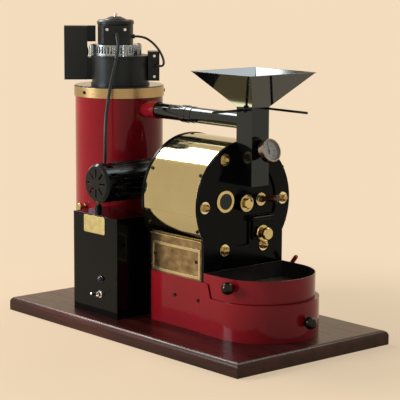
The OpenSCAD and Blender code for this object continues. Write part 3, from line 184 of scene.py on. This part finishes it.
middle = (0.0, 0.0, 0.3)
softbox("rear_softbox", (-0.11, 2.35, 2.3), middle, (1.3, 0.9), 50.0)
softbox("left_softbox", (-2.7, 1.5, 1.3), middle, (1.2, 1.6), 84.0)
softbox("right_softbox", (1.9, -0.6, 2.5), (0.0, 0.0, 0.4), (1.0, 0.8), 13.0)
softbox("front_softbox", (-0.6, -3.2, 1.4), middle, (1.2, 1.0), 4.0)


# ---------------------------------------------------------------- board
# The base is one plank of mahogany with bullnosed edges, stained dark and
# varnished, its grain running from front to back.
def make_material(name):
    """An empty node material with its shader, for the maker's finishes below."""
    material = bpy.data.materials.new(name)
    material.use_nodes = True
    tree = material.node_tree
    return material, tree, tree.nodes["Principled BSDF"]


def stretched_noise(tree, scale, stretch, detail):
    """Noise over the piece's own coordinates, drawn out by the stretch."""
    place = tree.nodes.new("ShaderNodeTexCoord")
    mapping = tree.nodes.new("ShaderNodeMapping")
    mapping.inputs["Scale"].default_value = stretch
    tree.links.new(place.outputs["Object"], mapping.inputs["Vector"])
    noise = tree.nodes.new("ShaderNodeTexNoise")
    noise.inputs["Scale"].default_value = scale
    noise.inputs["Detail"].default_value = detail
    tree.links.new(mapping.outputs["Vector"], noise.inputs["Vector"])
    return noise.outputs["Fac"]


def graded(tree, value, stops):
    """A colour ramp from a value, its stops as (position, colour)."""
    ramp = tree.nodes.new("ShaderNodeValToRGB")
    ramp.color_ramp.elements[0].position = stops[0][0]
    ramp.color_ramp.elements[0].color = (*stops[0][1], 1.0)
    ramp.color_ramp.elements[1].position = stops[-1][0]
    ramp.color_ramp.elements[1].color = (*stops[-1][1], 1.0)
    for position, colour in stops[1:-1]:
        ramp.color_ramp.elements.new(position).color = (*colour, 1.0)
    tree.links.new(value, ramp.inputs["Fac"])
    return ramp.outputs["Color"]


def ranged(tree, value, low, high):
    """Noise, which stays mostly between 0.3 and 0.7, brought to the range from low to high."""
    return stepped(tree, value, 0.3, 0.7, low, high)


def eased_edges(tree, radius, bump=None, strength=0.1, distance=0.0004):
    """Normals that round a hard edge by a small radius, with an optional bump over them."""
    bevel = tree.nodes.new("ShaderNodeBevel")
    bevel.inputs["Radius"].default_value = radius
    bevel.samples = 4
    if bump is None:
        return bevel.outputs["Normal"]
    relief = tree.nodes.new("ShaderNodeBump")
    relief.inputs["Strength"].default_value = strength
    relief.inputs["Distance"].default_value = distance
    tree.links.new(bump, relief.inputs["Height"])
    tree.links.new(bevel.outputs["Normal"], relief.inputs["Normal"])
    return relief.outputs["Normal"]


def dress(names, material):
    """Gives each named CAD piece the finish in all its slots."""
    for name in names:
        mesh = nodes[name].data
        mesh.materials.clear()
        mesh.materials.append(material)


def mahogany():
    material, tree, shader = make_material("mahogany")
    rings = stretched_noise(tree, 9.0, (4.2, 0.35, 4.2), 3.0)
    pores = stretched_noise(tree, 260.0, (1.0, 0.05, 1.0), 5.0)
    wave = maths(tree, "MULTIPLY_ADD", pores, 0.35, rings)
    stain = graded(tree, wave,
                   [(0.45, (0.010, 0.002, 0.002)), (0.62, (0.026, 0.004, 0.004)),
                    (0.78, (0.048, 0.008, 0.008)), (0.95, (0.080, 0.018, 0.016))])
    tree.links.new(stain, shader.inputs["Base Color"])
    tree.links.new(ranged(tree, pores, 0.26, 0.38), shader.inputs["Roughness"])
    tree.links.new(eased_edges(tree, 0.002, pores, 0.12, 0.0003), shader.inputs["Normal"])
    shader.inputs["Specular IOR Level"].default_value = 0.22
    shader.inputs["Coat Weight"].default_value = 0.12
    shader.inputs["Coat Roughness"].default_value = 0.14
    return material


dress(["base_board"], mahogany())


# ---------------------------------------------------------------- red enamel
# The lower case, the tray's housing and the cyclone are folded or rolled
# sheet steel, sprayed with a deep crimson enamel that dries nearly glassy.
crimson_tones = [(0.3, (0.235, 0.007, 0.014)), (0.7, (0.290, 0.010, 0.020))]
cool_tint = (0.62, 0.82, 1.0, 1.0)


def crimson_enamel():
    material, tree, shader = make_material("crimson_enamel")
    cloud = stretched_noise(tree, 6.0, (1.0, 1.0, 1.0), 2.0)
    peel = stretched_noise(tree, 420.0, (1.0, 1.0, 1.0), 2.0)
    paint = graded(tree, cloud, crimson_tones)
    tree.links.new(paint, shader.inputs["Base Color"])
    tree.links.new(ranged(tree, cloud, 0.07, 0.13), shader.inputs["Roughness"])
    tree.links.new(eased_edges(tree, 0.0012, peel, 0.04, 0.0002), shader.inputs["Normal"])
    shader.inputs["Specular IOR Level"].default_value = 0.22
    shader.inputs["Specular Tint"].default_value = cool_tint
    return material


dress(["lower_case", "cyclone_body", "cooling_housing"], crimson_enamel())


# ---------------------------------------------------------------- black enamel
# The two keyhole plates, the chute, the hopper and the boxes are steel under
# a hard black gloss. Handling leaves the faintest haze on it.
def black_gloss(name, tone, rough_low, rough_high, gloss):
    material, tree, shader = make_material(name)
    haze = stretched_noise(tree, 11.0, (1.0, 1.0, 1.0), 4.0)
    peel = stretched_noise(tree, 500.0, (1.0, 1.0, 1.0), 2.0)
    paint = graded(tree, haze, [(0.3, tuple(0.8 * part for part in tone)),
                                (0.7, tuple(1.3 * part for part in tone))])
    tree.links.new(paint, shader.inputs["Base Color"])
    tree.links.new(ranged(tree, haze, rough_low, rough_high), shader.inputs["Roughness"])
    tree.links.new(eased_edges(tree, 0.0012, peel, 0.04, 0.0002), shader.inputs["Normal"])
    shader.inputs["Specular IOR Level"].default_value = gloss
    shader.inputs["Specular Tint"].default_value = cool_tint
    return material


sheet_tone = (0.003, 0.0033, 0.0036)
dress(["front_plate", "front_cover", "rear_plate", "discharge_door", "thermometer_needle"],
      black_gloss("plate_black", (0.0030, 0.0035, 0.0042), 0.12, 0.22, 0.10))
dress(["control_box"], black_gloss("box_black", (0.002, 0.002, 0.0022), 0.05, 0.10, 0.16))
dress(["feed_chute", "exhaust_pipe", "cyclone_lid", "gate_lever"],
      black_gloss("sheet_black", sheet_tone, 0.04, 0.09, 0.60))
dress(["hopper"], black_gloss("hopper_black", sheet_tone, 0.04, 0.09, 0.85))


# ---------------------------------------------------------------- brass
# The jacket is rolled sheet polished to a mirror, and the fittings are turned.
# The flat sides are stained inside a bright border, and the cyclone's band is
# duller. The tie rods' nuts are painted darker and their washers paler than the
# other fittings, a painted reflection of dark and bright surroundings. The band's screw heads are
# dark.
chamber_x = 0.006
washer_outer_face = -0.156
apron_border_reach = 0.1055
band_centre_y = 0.249
band_face_radius = 0.0967
mask_edge = 0.0001


def polished_brass():
    material, tree, shader = make_material("polished_brass")
    lines = stretched_noise(tree, 90.0, (1.0, 0.02, 1.0), 4.0)
    cloud = stretched_noise(tree, 7.0, (1.0, 1.0, 1.0), 3.0)
    tone = graded(tree, cloud, [(0.3, (0.44, 0.40, 0.23)), (0.7, (0.52, 0.48, 0.29))])
    tree.links.new(tone, shader.inputs["Base Color"])
    tree.links.new(ranged(tree, lines, 0.05, 0.09), shader.inputs["Roughness"])
    tree.links.new(eased_edges(tree, 0.0006, lines, 0.02, 0.0001), shader.inputs["Normal"])
    shader.inputs["Metallic"].default_value = 1.0
    return material


def turned_brass():
    material, tree, shader = make_material("turned_brass")
    cloud = stretched_noise(tree, 60.0, (1.0, 1.0, 1.0), 3.0)
    tone = graded(tree, cloud, [(0.3, (0.50, 0.42, 0.20)), (0.7, (0.64, 0.55, 0.29))])
    tree.links.new(tone, shader.inputs["Base Color"])
    tree.links.new(ranged(tree, cloud, 0.08, 0.16), shader.inputs["Roughness"])
    tree.links.new(eased_edges(tree, 0.0005), shader.inputs["Normal"])
    shader.inputs["Metallic"].default_value = 1.0
    return material


def object_axis(tree, axis):
    """One coordinate of the piece's own space, in metres."""
    where = tree.nodes.new("ShaderNodeTexCoord")
    split = tree.nodes.new("ShaderNodeSeparateXYZ")
    tree.links.new(where.outputs["Object"], split.inputs[0])
    return split.outputs[axis]


def mixed(tree, share, first, second):
    """Two colours blended by a share."""
    blend = tree.nodes.new("ShaderNodeMix")
    blend.data_type = "RGBA"
    tree.links.new(share, blend.inputs["Factor"])
    tree.links.new(first, blend.inputs["A"])
    tree.links.new(second, blend.inputs["B"])
    return blend.outputs["Result"]


def band_brass():
    material, tree, shader = make_material("band_brass")
    lines = stretched_noise(tree, 700.0, (0.03, 0.03, 1.0), 3.0)
    cloud = stretched_noise(tree, 12.0, (1.0, 1.0, 1.0), 3.0)
    tone = graded(tree, cloud, [(0.3, (0.36, 0.27, 0.14)), (0.7, (0.46, 0.35, 0.19))])
    dark = graded(tree, cloud, [(0.3, (0.012, 0.009, 0.007)), (0.7, (0.022, 0.017, 0.013))])
    where = tree.nodes.new("ShaderNodeTexCoord")
    centred = tree.nodes.new("ShaderNodeMapping")
    centred.inputs["Location"].default_value = (-chamber_x, -band_centre_y, 0.0)
    centred.inputs["Scale"].default_value = (1.0, 1.0, 0.0)
    tree.links.new(where.outputs["Object"], centred.inputs["Vector"])
    radius = tree.nodes.new("ShaderNodeVectorMath")
    radius.operation = "LENGTH"
    tree.links.new(centred.outputs[0], radius.inputs[0])
    heads = stepped(tree, radius.outputs["Value"], band_face_radius - mask_edge,
                    band_face_radius + mask_edge, 0.0, 1.0)
    tree.links.new(mixed(tree, heads, tone, dark), shader.inputs["Base Color"])
    tree.links.new(ranged(tree, lines, 0.24, 0.36), shader.inputs["Roughness"])
    tree.links.new(eased_edges(tree, 0.0006, lines, 0.06, 0.0001), shader.inputs["Normal"])
    shader.inputs["Metallic"].default_value = 1.0
    return material


def tie_brass_painted_reflection():
    material, tree, shader = make_material("tie_brass_painted_reflection")
    cloud = stretched_noise(tree, 90.0, (1.0, 1.0, 1.0), 3.0)
    # The nuts' dark tone and the washers' pale tone are a painted reflection: one brass in a shaded
    # copy and a lit copy.
    nut_dark_reflection = graded(tree, cloud, [(0.3, (0.30, 0.21, 0.09)), (0.7, (0.44, 0.33, 0.15))])
    washer_bright_reflection = graded(tree, cloud, [(0.3, (0.72, 0.66, 0.42)), (0.7, (0.84, 0.79, 0.56))])
    flat = stepped(tree, object_axis(tree, "Y"), washer_outer_face - 2 * mask_edge,
                   washer_outer_face + 2 * mask_edge, 0.0, 1.0)
    tree.links.new(mixed(tree, flat, nut_dark_reflection, washer_bright_reflection), shader.inputs["Base Color"])
    tree.links.new(ranged(tree, cloud, 0.08, 0.18), shader.inputs["Roughness"])
    tree.links.new(eased_edges(tree, 0.0005), shader.inputs["Normal"])
    shader.inputs["Metallic"].default_value = 1.0
    return material


def apron_brass():
    material, tree, shader = make_material("apron_brass")
    stain = stretched_noise(tree, 42.0, (1.0, 1.0, 1.6), 5.0)
    lines = stretched_noise(tree, 160.0, (1.0, 0.02, 1.0), 3.0)
    worn = graded(tree, stain, [(0.30, (0.16, 0.11, 0.06)), (0.52, (0.27, 0.20, 0.11)),
                                (0.75, (0.44, 0.35, 0.20))])
    pale = graded(tree, stain, [(0.3, (0.50, 0.42, 0.25)), (0.7, (0.64, 0.55, 0.35))])
    reach = maths(tree, "ABSOLUTE",
                  maths(tree, "SUBTRACT", object_axis(tree, "X"), chamber_x))
    border = stepped(tree, reach, apron_border_reach - mask_edge,
                     apron_border_reach + mask_edge, 0.0, 1.0)
    tree.links.new(mixed(tree, border, worn, pale), shader.inputs["Base Color"])
    tree.links.new(ranged(tree, stain, 0.30, 0.16), shader.inputs["Roughness"])
    tree.links.new(eased_edges(tree, 0.0012, lines, 0.05, 0.0002), shader.inputs["Normal"])
    shader.inputs["Metallic"].default_value = 1.0
    return material


def label_brass():
    material, tree, shader = make_material("label_brass")
    cloud = stretched_noise(tree, 70.0, (1.0, 1.0, 1.0), 3.0)
    tone = graded(tree, cloud, [(0.3, (0.60, 0.55, 0.28)), (0.7, (0.70, 0.65, 0.36))])
    tree.links.new(tone, shader.inputs["Base Color"])
    tree.links.new(ranged(tree, cloud, 0.22, 0.32), shader.inputs["Roughness"])
    tree.links.new(eased_edges(tree, 0.0005), shader.inputs["Normal"])
    shader.inputs["Metallic"].default_value = 1.0
    return material


dress(["drum_jacket"], polished_brass())
dress(["sight_glass_ring", "trier_bush", "discharge_knob", "latch_knob",
       "drum_shaft", "worm_wheel", "front_bearing"], turned_brass())
dress(["tie_rods"], tie_brass_painted_reflection())
dress(["apron_panels"], apron_brass())
dress(["face_plate"], label_brass())
dress(["cyclone_band"], band_brass())


# ---------------------------------------------------------------- sheet screws
# Small round-headed screws with a dark oxide finish hold the case, the flat
# sides and the jacket.
def dark_oxide():
    material, tree, shader = make_material("dark_oxide")
    specks = stretched_noise(tree, 900.0, (1.0, 1.0, 1.0), 3.0)
    tone = graded(tree, specks, [(0.35, (0.012, 0.011, 0.010)), (0.7, (0.045, 0.038, 0.030))])
    tree.links.new(tone, shader.inputs["Base Color"])
    tree.links.new(ranged(tree, specks, 0.25, 0.42), shader.inputs["Roughness"])
    tree.links.new(eased_edges(tree, 0.0004), shader.inputs["Normal"])
    shader.inputs["Metallic"].default_value = 0.8
    return material


dress(["case_screws"], dark_oxide())


# ---------------------------------------------------------------- bare metals
# Shafts, pins, the trier and the drum are machined or rolled steel. The vent
# ring is a die casting left bright, the gear case is cast and grey, and the
# thermometer's case is darkened steel tinted brown, a painted reflection of brown surroundings.
def bare_metal(name, low, high, rough_low, rough_high, metallic=1.0):
    material, tree, shader = make_material(name)
    grain = stretched_noise(tree, 160.0, (1.0, 1.0, 1.0), 5.0)
    tree.links.new(graded(tree, grain, [(0.3, low), (0.7, high)]), shader.inputs["Base Color"])
    tree.links.new(ranged(tree, grain, rough_low, rough_high), shader.inputs["Roughness"])
    tree.links.new(eased_edges(tree, 0.0005, grain, 0.08, 0.0002), shader.inputs["Normal"])
    shader.inputs["Metallic"].default_value = metallic
    return material


steel = bare_metal("machined_steel", (0.48, 0.48, 0.49), (0.62, 0.62, 0.63), 0.18, 0.30)
drum_steel = bare_metal("rolled_steel", (0.10, 0.09, 0.085), (0.19, 0.17, 0.16), 0.38, 0.55)
casting = bare_metal("bright_casting", (0.20, 0.25, 0.30), (0.38, 0.45, 0.52), 0.16, 0.30)
grey_iron = bare_metal("grey_casting", (0.035, 0.036, 0.040), (0.06, 0.062, 0.068), 0.45, 0.65, 0.2)
plating = bare_metal("bright_plating", (0.70, 0.70, 0.72), (0.82, 0.82, 0.84), 0.06, 0.14)
# The bezel's brown tint is a painted reflection of brown surroundings on darkened steel.
bezel = bare_metal("bezel_brown_reflection", (0.20, 0.16, 0.13), (0.38, 0.33, 0.29), 0.10, 0.22)
sheath = bare_metal("heater_sheath", (0.09, 0.07, 0.06), (0.17, 0.13, 0.11), 0.45, 0.65)
dress(["trier_tube", "door_pin", "worm_shaft", "rear_bearing", "blower_rotor",
       "diverter_lever"], steel)
dress(["roasting_drum", "tray_floor"], drum_steel)
dress(["vent_ring"], casting)
dress(["gearbox_case"], grey_iron)
dress(["toggle_bush", "toggle_lever"], plating)
dress(["thermometer_case"], bezel)
dress(["heating_elements"], sheath)


# ---------------------------------------------------------------- motors and boxes
# The motors, the scroll and the boxes on the blower are cast or pressed metal
# under a fine-textured black paint, softer than the plates' gloss. The two
# boxes beside the blower's motor are closed with bright screws.
blower_centre = (0.0005, 0.254)
blower_turn = math.radians(-36.0)
cover_base = 0.573
cover_face = -0.0421
cover_gland_x = 0.001
capacitor_base = 0.496
capacitor_face = -0.0241
capacitor_gland_z = 0.033
gland_reach = 0.010
blower_paint = (0.013, 0.34, 0.3)


def textured_black(name, tone, rough, gloss):
    material, tree, shader = make_material(name)
    stipple = stretched_noise(tree, 900.0, (1.0, 1.0, 1.0), 3.0)
    dust = stretched_noise(tree, 18.0, (1.0, 1.0, 1.0), 4.0)
    paint = graded(tree, dust, [(0.3, (tone, tone, tone * 1.05)),
                                (0.72, (tone * 1.7, tone * 1.7, tone * 1.8))])
    tree.links.new(paint, shader.inputs["Base Color"])
    tree.links.new(ranged(tree, dust, rough - 0.06, rough + 0.06), shader.inputs["Roughness"])
    tree.links.new(eased_edges(tree, 0.001, stipple, 0.22, 0.0003), shader.inputs["Normal"])
    shader.inputs["Specular IOR Level"].default_value = gloss
    shader.inputs["Specular Tint"].default_value = cool_tint
    return material


def screwed_black(name, base_height, face, axis, gland):
    """The same paint, with bright screw heads where they stand out past the box's face.

    They lie to both sides of the lead's gland, which stays black.
    """
    material = textured_black(name, *blower_paint)
    tree = material.node_tree
    shader = tree.nodes["Principled BSDF"]
    where = tree.nodes.new("ShaderNodeTexCoord")
    turned = tree.nodes.new("ShaderNodeMapping")
    turned.vector_type = "TEXTURE"
    turned.inputs["Location"].default_value = (*blower_centre, base_height)
    turned.inputs["Rotation"].default_value = (0.0, 0.0, blower_turn)
    tree.links.new(where.outputs["Object"], turned.inputs["Vector"])
    split = tree.nodes.new("ShaderNodeSeparateXYZ")
    tree.links.new(turned.outputs[0], split.inputs[0])
    proud = stepped(tree, split.outputs["Y"], face - 0.0002, face, 1.0, 0.0)
    offset = maths(tree, "ABSOLUTE", maths(tree, "SUBTRACT", split.outputs[axis], gland))
    beside_gland = stepped(tree, offset, gland_reach, gland_reach + 0.002, 0.0, 1.0)
    share = maths(tree, "MULTIPLY", proud, beside_gland)
    grain = stretched_noise(tree, 300.0, (1.0, 1.0, 1.0), 3.0)
    silver = graded(tree, grain, [(0.3, (0.62, 0.66, 0.70)), (0.7, (0.78, 0.82, 0.86))])
    paint = shader.inputs["Base Color"].links[0].from_socket
    tree.links.new(mixed(tree, share, paint, silver), shader.inputs["Base Color"])
    tree.links.new(share, shader.inputs["Metallic"])
    return material


dress(["blower_scroll", "blower_motor", "exhaust_box"],
      textured_black("blower_black", *blower_paint))
dress(["terminal_cover"],
      screwed_black("cover_black", cover_base, cover_face, "X", cover_gland_x))
dress(["capacitor_box"],
      screwed_black("capacitor_black", capacitor_base, capacitor_face, "Z", capacitor_gland_z))
dress(["drive_motor", "motor_end_bell"], textured_black("motor_black", 0.002, 0.16, 0.3))


# ---------------------------------------------------------------- leads
# The blower's lead and the capacitor's lead have soft black rubber sheaths,
# a little scuffed, and shaded smooth because their bends are faceted.
def rubber_sheath():
    material, tree, shader = make_material("rubber_sheath")
    scuffs = stretched_noise(tree, 45.0, (1.0, 1.0, 1.0), 5.0)
    tone = graded(tree, scuffs, [(0.35, (0.004, 0.005, 0.006)), (0.75, (0.012, 0.014, 0.017))])
    tree.links.new(tone, shader.inputs["Base Color"])
    tree.links.new(ranged(tree, scuffs, 0.30, 0.46), shader.inputs["Roughness"])
    tree.links.new(eased_edges(tree, 0.001, scuffs, 0.1, 0.0003), shader.inputs["Normal"])
    shader.inputs["Specular Tint"].default_value = cool_tint
    return material


dress(["blower_lead", "capacitor_lead"], rubber_sheath())
for lead in ("blower_lead", "capacitor_lead"):
    nodes[lead].data.shade_smooth()


# ---------------------------------------------------------------- cooling tray
# The tray is crimson enamel outside. Inside it is dark grey, so the
# paint changes at the wall, by the distance from the tray's round centre.
half_wall = 0.0009


def tray_enamel():
    low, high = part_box("cooling_tray")
    radius = (high.x - low.x) / 2
    centre = Vector(((low.x + high.x) / 2, low.y + radius, 0.0))
    material, tree, shader = make_material("tray_enamel")
    place = tree.nodes.new("ShaderNodeTexCoord")
    shifted = tree.nodes.new("ShaderNodeVectorMath")
    shifted.operation = "SUBTRACT"
    shifted.inputs[1].default_value = centre
    tree.links.new(place.outputs["Object"], shifted.inputs[0])
    split = tree.nodes.new("ShaderNodeSeparateXYZ")
    tree.links.new(shifted.outputs[0], split.inputs[0])
    flat = tree.nodes.new("ShaderNodeCombineXYZ")
    tree.links.new(split.outputs["X"], flat.inputs["X"])
    tree.links.new(maths(tree, "MINIMUM", split.outputs["Y"], 0.0), flat.inputs["Y"])
    distance = tree.nodes.new("ShaderNodeVectorMath")
    distance.operation = "LENGTH"
    tree.links.new(flat.outputs[0], distance.inputs[0])
    outside = maths(tree, "GREATER_THAN", distance.outputs["Value"], radius - half_wall)
    cloud = stretched_noise(tree, 14.0, (1.0, 1.0, 1.0), 4.0)
    peel = stretched_noise(tree, 420.0, (1.0, 1.0, 1.0), 2.0)
    red = graded(tree, cloud, crimson_tones)
    grey = graded(tree, cloud, [(0.3, (0.020, 0.018, 0.017)), (0.7, (0.045, 0.041, 0.038))])
    tree.links.new(mixed(tree, outside, grey, red), shader.inputs["Base Color"])
    tree.links.new(ranged(tree, cloud, 0.08, 0.15), shader.inputs["Roughness"])
    tree.links.new(eased_edges(tree, 0.0008, peel, 0.04, 0.0002), shader.inputs["Normal"])
    shader.inputs["Specular IOR Level"].default_value = 0.22
    shader.inputs["Specular Tint"].default_value = cool_tint
    return material


dress(["cooling_tray"], tray_enamel())


# ---------------------------------------------------------------- knobs, grip and lamp
# The ball knobs are moulded phenolic, the grip is a red vinyl sleeve, and the
# pilot lamp has a dark blue lens.
def moulded(name, low, high, rough, coat=0.3):
    material, tree, shader = make_material(name)
    flow = stretched_noise(tree, 80.0, (1.0, 1.0, 1.0), 3.0)
    tree.links.new(graded(tree, flow, [(0.3, low), (0.7, high)]), shader.inputs["Base Color"])
    tree.links.new(ranged(tree, flow, rough - 0.04, rough + 0.05), shader.inputs["Roughness"])
    tree.links.new(eased_edges(tree, 0.0006, flow, 0.04, 0.0002), shader.inputs["Normal"])
    shader.inputs["Coat Weight"].default_value = coat
    shader.inputs["Specular IOR Level"].default_value = 0.25
    return material


dress(["tray_knob", "housing_knob"],
      moulded("phenolic", (0.001, 0.001, 0.001), (0.002, 0.002, 0.002), 0.08, 0.0))
dress(["diverter_grip"], moulded("red_sleeve", (0.30, 0.012, 0.014), (0.38, 0.02, 0.02), 0.4))
dress(["pilot_lamp"], moulded("lamp_lens", (0.006, 0.012, 0.04), (0.012, 0.022, 0.06), 0.12, 0.5))


# ---------------------------------------------------------------- trier handle
# A handle turned from dark hardwood and oiled. Its grain runs along the
# handle, from front to back.
def oiled_wood():
    material, tree, shader = make_material("oiled_wood")
    grain = stretched_noise(tree, 220.0, (1.0, 0.08, 1.0), 4.0)
    tone = graded(tree, grain, [(0.35, (0.022, 0.006, 0.003)), (0.7, (0.10, 0.030, 0.014))])
    tree.links.new(tone, shader.inputs["Base Color"])
    tree.links.new(ranged(tree, grain, 0.28, 0.4), shader.inputs["Roughness"])
    tree.links.new(eased_edges(tree, 0.0008, grain, 0.1, 0.0002), shader.inputs["Normal"])
    shader.inputs["Coat Weight"].default_value = 0.3
    return material


dress(["trier_handle"], oiled_wood())


# ---------------------------------------------------------------- sight glass
# A thick round of heat-proof glass, drawn opaque and nearly black, and the
# clear window over the thermometer's dial.
def tinted_glass():
    material, tree, shader = make_material("tinted_glass")
    glass_mottle = stretched_noise(tree, 120.0, (1.0, 1.0, 1.0), 4.0)
    tone = graded(tree, glass_mottle, [(0.3, (0.003, 0.004, 0.006)), (0.75, (0.012, 0.012, 0.014))])
    tree.links.new(tone, shader.inputs["Base Color"])
    tree.links.new(ranged(tree, glass_mottle, 0.03, 0.08), shader.inputs["Roughness"])
    shader.inputs["Specular IOR Level"].default_value = 0.4
    shader.inputs["Specular Tint"].default_value = cool_tint
    return material


def clear_glass():
    material, tree, shader = make_material("clear_glass")
    smear = stretched_noise(tree, 60.0, (1.0, 1.0, 1.0), 3.0)
    tree.links.new(ranged(tree, smear, 0.0, 0.02), shader.inputs["Roughness"])
    shader.inputs["Base Color"].default_value = (0.96, 0.98, 1.0, 1.0)
    shader.inputs["IOR"].default_value = 1.2
    shader.inputs["Alpha"].default_value = 0.12
    return material


dress(["sight_glass"], tinted_glass())
dress(["thermometer_lens"], clear_glass())


# ---------------------------------------------------------------- thermometer dial
# The dial is a white enamelled disc. Its scale is printed in black: a ring of
# short strokes with a longer one at every fifth, and plain numbers inside it.
def dial_enamel():
    material, tree, shader = make_material("dial_enamel")
    cloud = stretched_noise(tree, 50.0, (1.0, 1.0, 1.0), 3.0)
    tone = graded(tree, cloud, [(0.3, (0.66, 0.78, 0.86)), (0.7, (0.76, 0.88, 0.95))])
    tree.links.new(tone, shader.inputs["Base Color"])
    tree.links.new(ranged(tree, cloud, 0.3, 0.4), shader.inputs["Roughness"])
    return material


def dial_ink():
    material, tree, shader = make_material("dial_ink")
    wear = stretched_noise(tree, 400.0, (1.0, 1.0, 1.0), 3.0)
    tone = graded(tree, wear, [(0.3, (0.010, 0.010, 0.012)), (0.7, (0.022, 0.022, 0.026))])
    tree.links.new(tone, shader.inputs["Base Color"])
    tree.links.new(ranged(tree, wear, 0.4, 0.55), shader.inputs["Roughness"])
    return material


dress(["thermometer_dial"], dial_enamel())
ink = dial_ink()
needle_joint = next(j for j in frame["joints"] if j["name"] == "needle_hinge")
dial_out = Vector(needle_joint["axis"]).normalized()
dial_side = Vector((1.0, 0.0, 0.0))
dial_up = dial_out.cross(dial_side)
needle_above_dial = 0.00985
dial_face = Vector(needle_joint["pos_m"]) - needle_above_dial * dial_out
dial_turn = Matrix((dial_side, dial_up, dial_out)).transposed().to_4x4()
dial_frame = Matrix.Translation(dial_face) @ dial_turn
first_mark = math.radians(225.0)
sweep = math.radians(270.0)
mark_count = 31
mark_radius = 0.0186
stroke_size = (0.0014, 0.00032, 0.00008)
short_stretch = 1.2
long_extra = 1.0
number_count = 7
number_step = 50
number_radius = 0.0132
number_height = 0.0042
number_relief = 0.00003


def mark_tree():
    """A tree of strokes round part of a circle, every fifth one longer."""
    tree = bpy.data.node_groups.new("dial_marks", "GeometryNodeTree")
    sockets = {}
    for label, kind, value in (("Marks", "NodeSocketInt", mark_count),
                               ("Radius", "NodeSocketFloat", mark_radius),
                               ("Sweep", "NodeSocketFloat", sweep),
                               ("Start", "NodeSocketFloat", first_mark)):
        item = tree.interface.new_socket(label, in_out="INPUT", socket_type=kind)
        item.default_value = value
        sockets[label] = item.identifier
    tree.interface.new_socket("Geometry", in_out="OUTPUT", socket_type="NodeSocketGeometry")
    given = tree.nodes.new("NodeGroupInput")
    result = tree.nodes.new("NodeGroupOutput")
    points = tree.nodes.new("GeometryNodePoints")
    tree.links.new(given.outputs["Marks"], points.inputs["Count"])
    index = tree.nodes.new("GeometryNodeInputIndex")
    gaps = maths(tree, "SUBTRACT", given.outputs["Marks"], 1.0)
    share = maths(tree, "DIVIDE", index.outputs[0], gaps)
    turned = maths(tree, "MULTIPLY", share, given.outputs["Sweep"])
    angle = maths(tree, "SUBTRACT", given.outputs["Start"], turned)
    fifth = maths(tree, "LESS_THAN", maths(tree, "MODULO", index.outputs[0], 5.0), 0.5)
    length = maths(tree, "ADD", maths(tree, "MULTIPLY", fifth, long_extra), short_stretch)
    along = maths(tree, "MULTIPLY", maths(tree, "COSINE", angle), given.outputs["Radius"])
    across = maths(tree, "MULTIPLY", maths(tree, "SINE", angle), given.outputs["Radius"])
    where = tree.nodes.new("ShaderNodeCombineXYZ")
    tree.links.new(along, where.inputs["X"])
    tree.links.new(across, where.inputs["Y"])
    placed = tree.nodes.new("GeometryNodeSetPosition")
    tree.links.new(points.outputs[0], placed.inputs["Geometry"])
    tree.links.new(where.outputs[0], placed.inputs["Position"])
    turn = tree.nodes.new("ShaderNodeCombineXYZ")
    tree.links.new(angle, turn.inputs["Z"])
    scale = tree.nodes.new("ShaderNodeCombineXYZ")
    scale.inputs["Y"].default_value = 1.0
    scale.inputs["Z"].default_value = 1.0
    tree.links.new(length, scale.inputs["X"])
    stroke = tree.nodes.new("GeometryNodeMeshCube")
    stroke.inputs["Size"].default_value = stroke_size
    marks = tree.nodes.new("GeometryNodeInstanceOnPoints")
    tree.links.new(placed.outputs[0], marks.inputs["Points"])
    tree.links.new(stroke.outputs["Mesh"], marks.inputs["Instance"])
    tree.links.new(turn.outputs[0], marks.inputs["Rotation"])
    tree.links.new(scale.outputs[0], marks.inputs["Scale"])
    real = tree.nodes.new("GeometryNodeRealizeInstances")
    tree.links.new(marks.outputs[0], real.inputs[0])
    inked = tree.nodes.new("GeometryNodeSetMaterial")
    inked.inputs["Material"].default_value = ink
    tree.links.new(real.outputs[0], inked.inputs["Geometry"])
    tree.links.new(inked.outputs[0], result.inputs["Geometry"])
    return tree


def grown(name, tree):
    """The plain mesh that a tree makes, as an object of its own."""
    seed_mesh = bpy.data.meshes.new(name + "_seed")
    grower = bpy.data.objects.new(name + "_seed", seed_mesh)
    bpy.context.scene.collection.objects.link(grower)
    modifier = grower.modifiers.new("grow", "NODES")
    modifier.node_group = tree
    bpy.context.view_layer.update()
    evaluated = grower.evaluated_get(bpy.context.evaluated_depsgraph_get())
    mesh = bpy.data.meshes.new_from_object(evaluated)
    mesh.name = name
    piece = bpy.data.objects.new(name, mesh)
    bpy.data.objects.remove(grower)
    bpy.context.scene.collection.objects.link(piece)
    return piece


dial_marks = grown("dial_marks", mark_tree())
dial_marks.data.transform(dial_frame)
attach(dial_marks, "frame")


def printed_number(text, spot, height):
    """A number as a thin mesh, centred on a spot of the dial."""
    curve = bpy.data.curves.new("number", "FONT")
    curve.body = text
    curve.size = height
    curve.align_x = "CENTER"
    curve.align_y = "CENTER"
    curve.extrude = number_relief
    curve.resolution_u = 2
    writer = bpy.data.objects.new("number", curve)
    bpy.context.scene.collection.objects.link(writer)
    bpy.context.view_layer.update()
    evaluated = writer.evaluated_get(bpy.context.evaluated_depsgraph_get())
    mesh = bpy.data.meshes.new_from_object(evaluated)
    bpy.data.objects.remove(writer)
    mesh.transform(dial_frame @ Matrix.Translation((spot[0], spot[1], 0.0)))
    return mesh


for step in range(number_count):
    number_angle = first_mark - sweep * step / (number_count - 1)
    number_spot = (number_radius * math.cos(number_angle), number_radius * math.sin(number_angle))
    number_mesh = printed_number(str(step * number_step), number_spot, number_height)
    number_mesh.materials.clear()
    number_mesh.materials.append(ink)
    number = bpy.data.objects.new(f"dial_number_{step}", number_mesh)
    bpy.context.scene.collection.objects.link(number)
    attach(number, "frame")
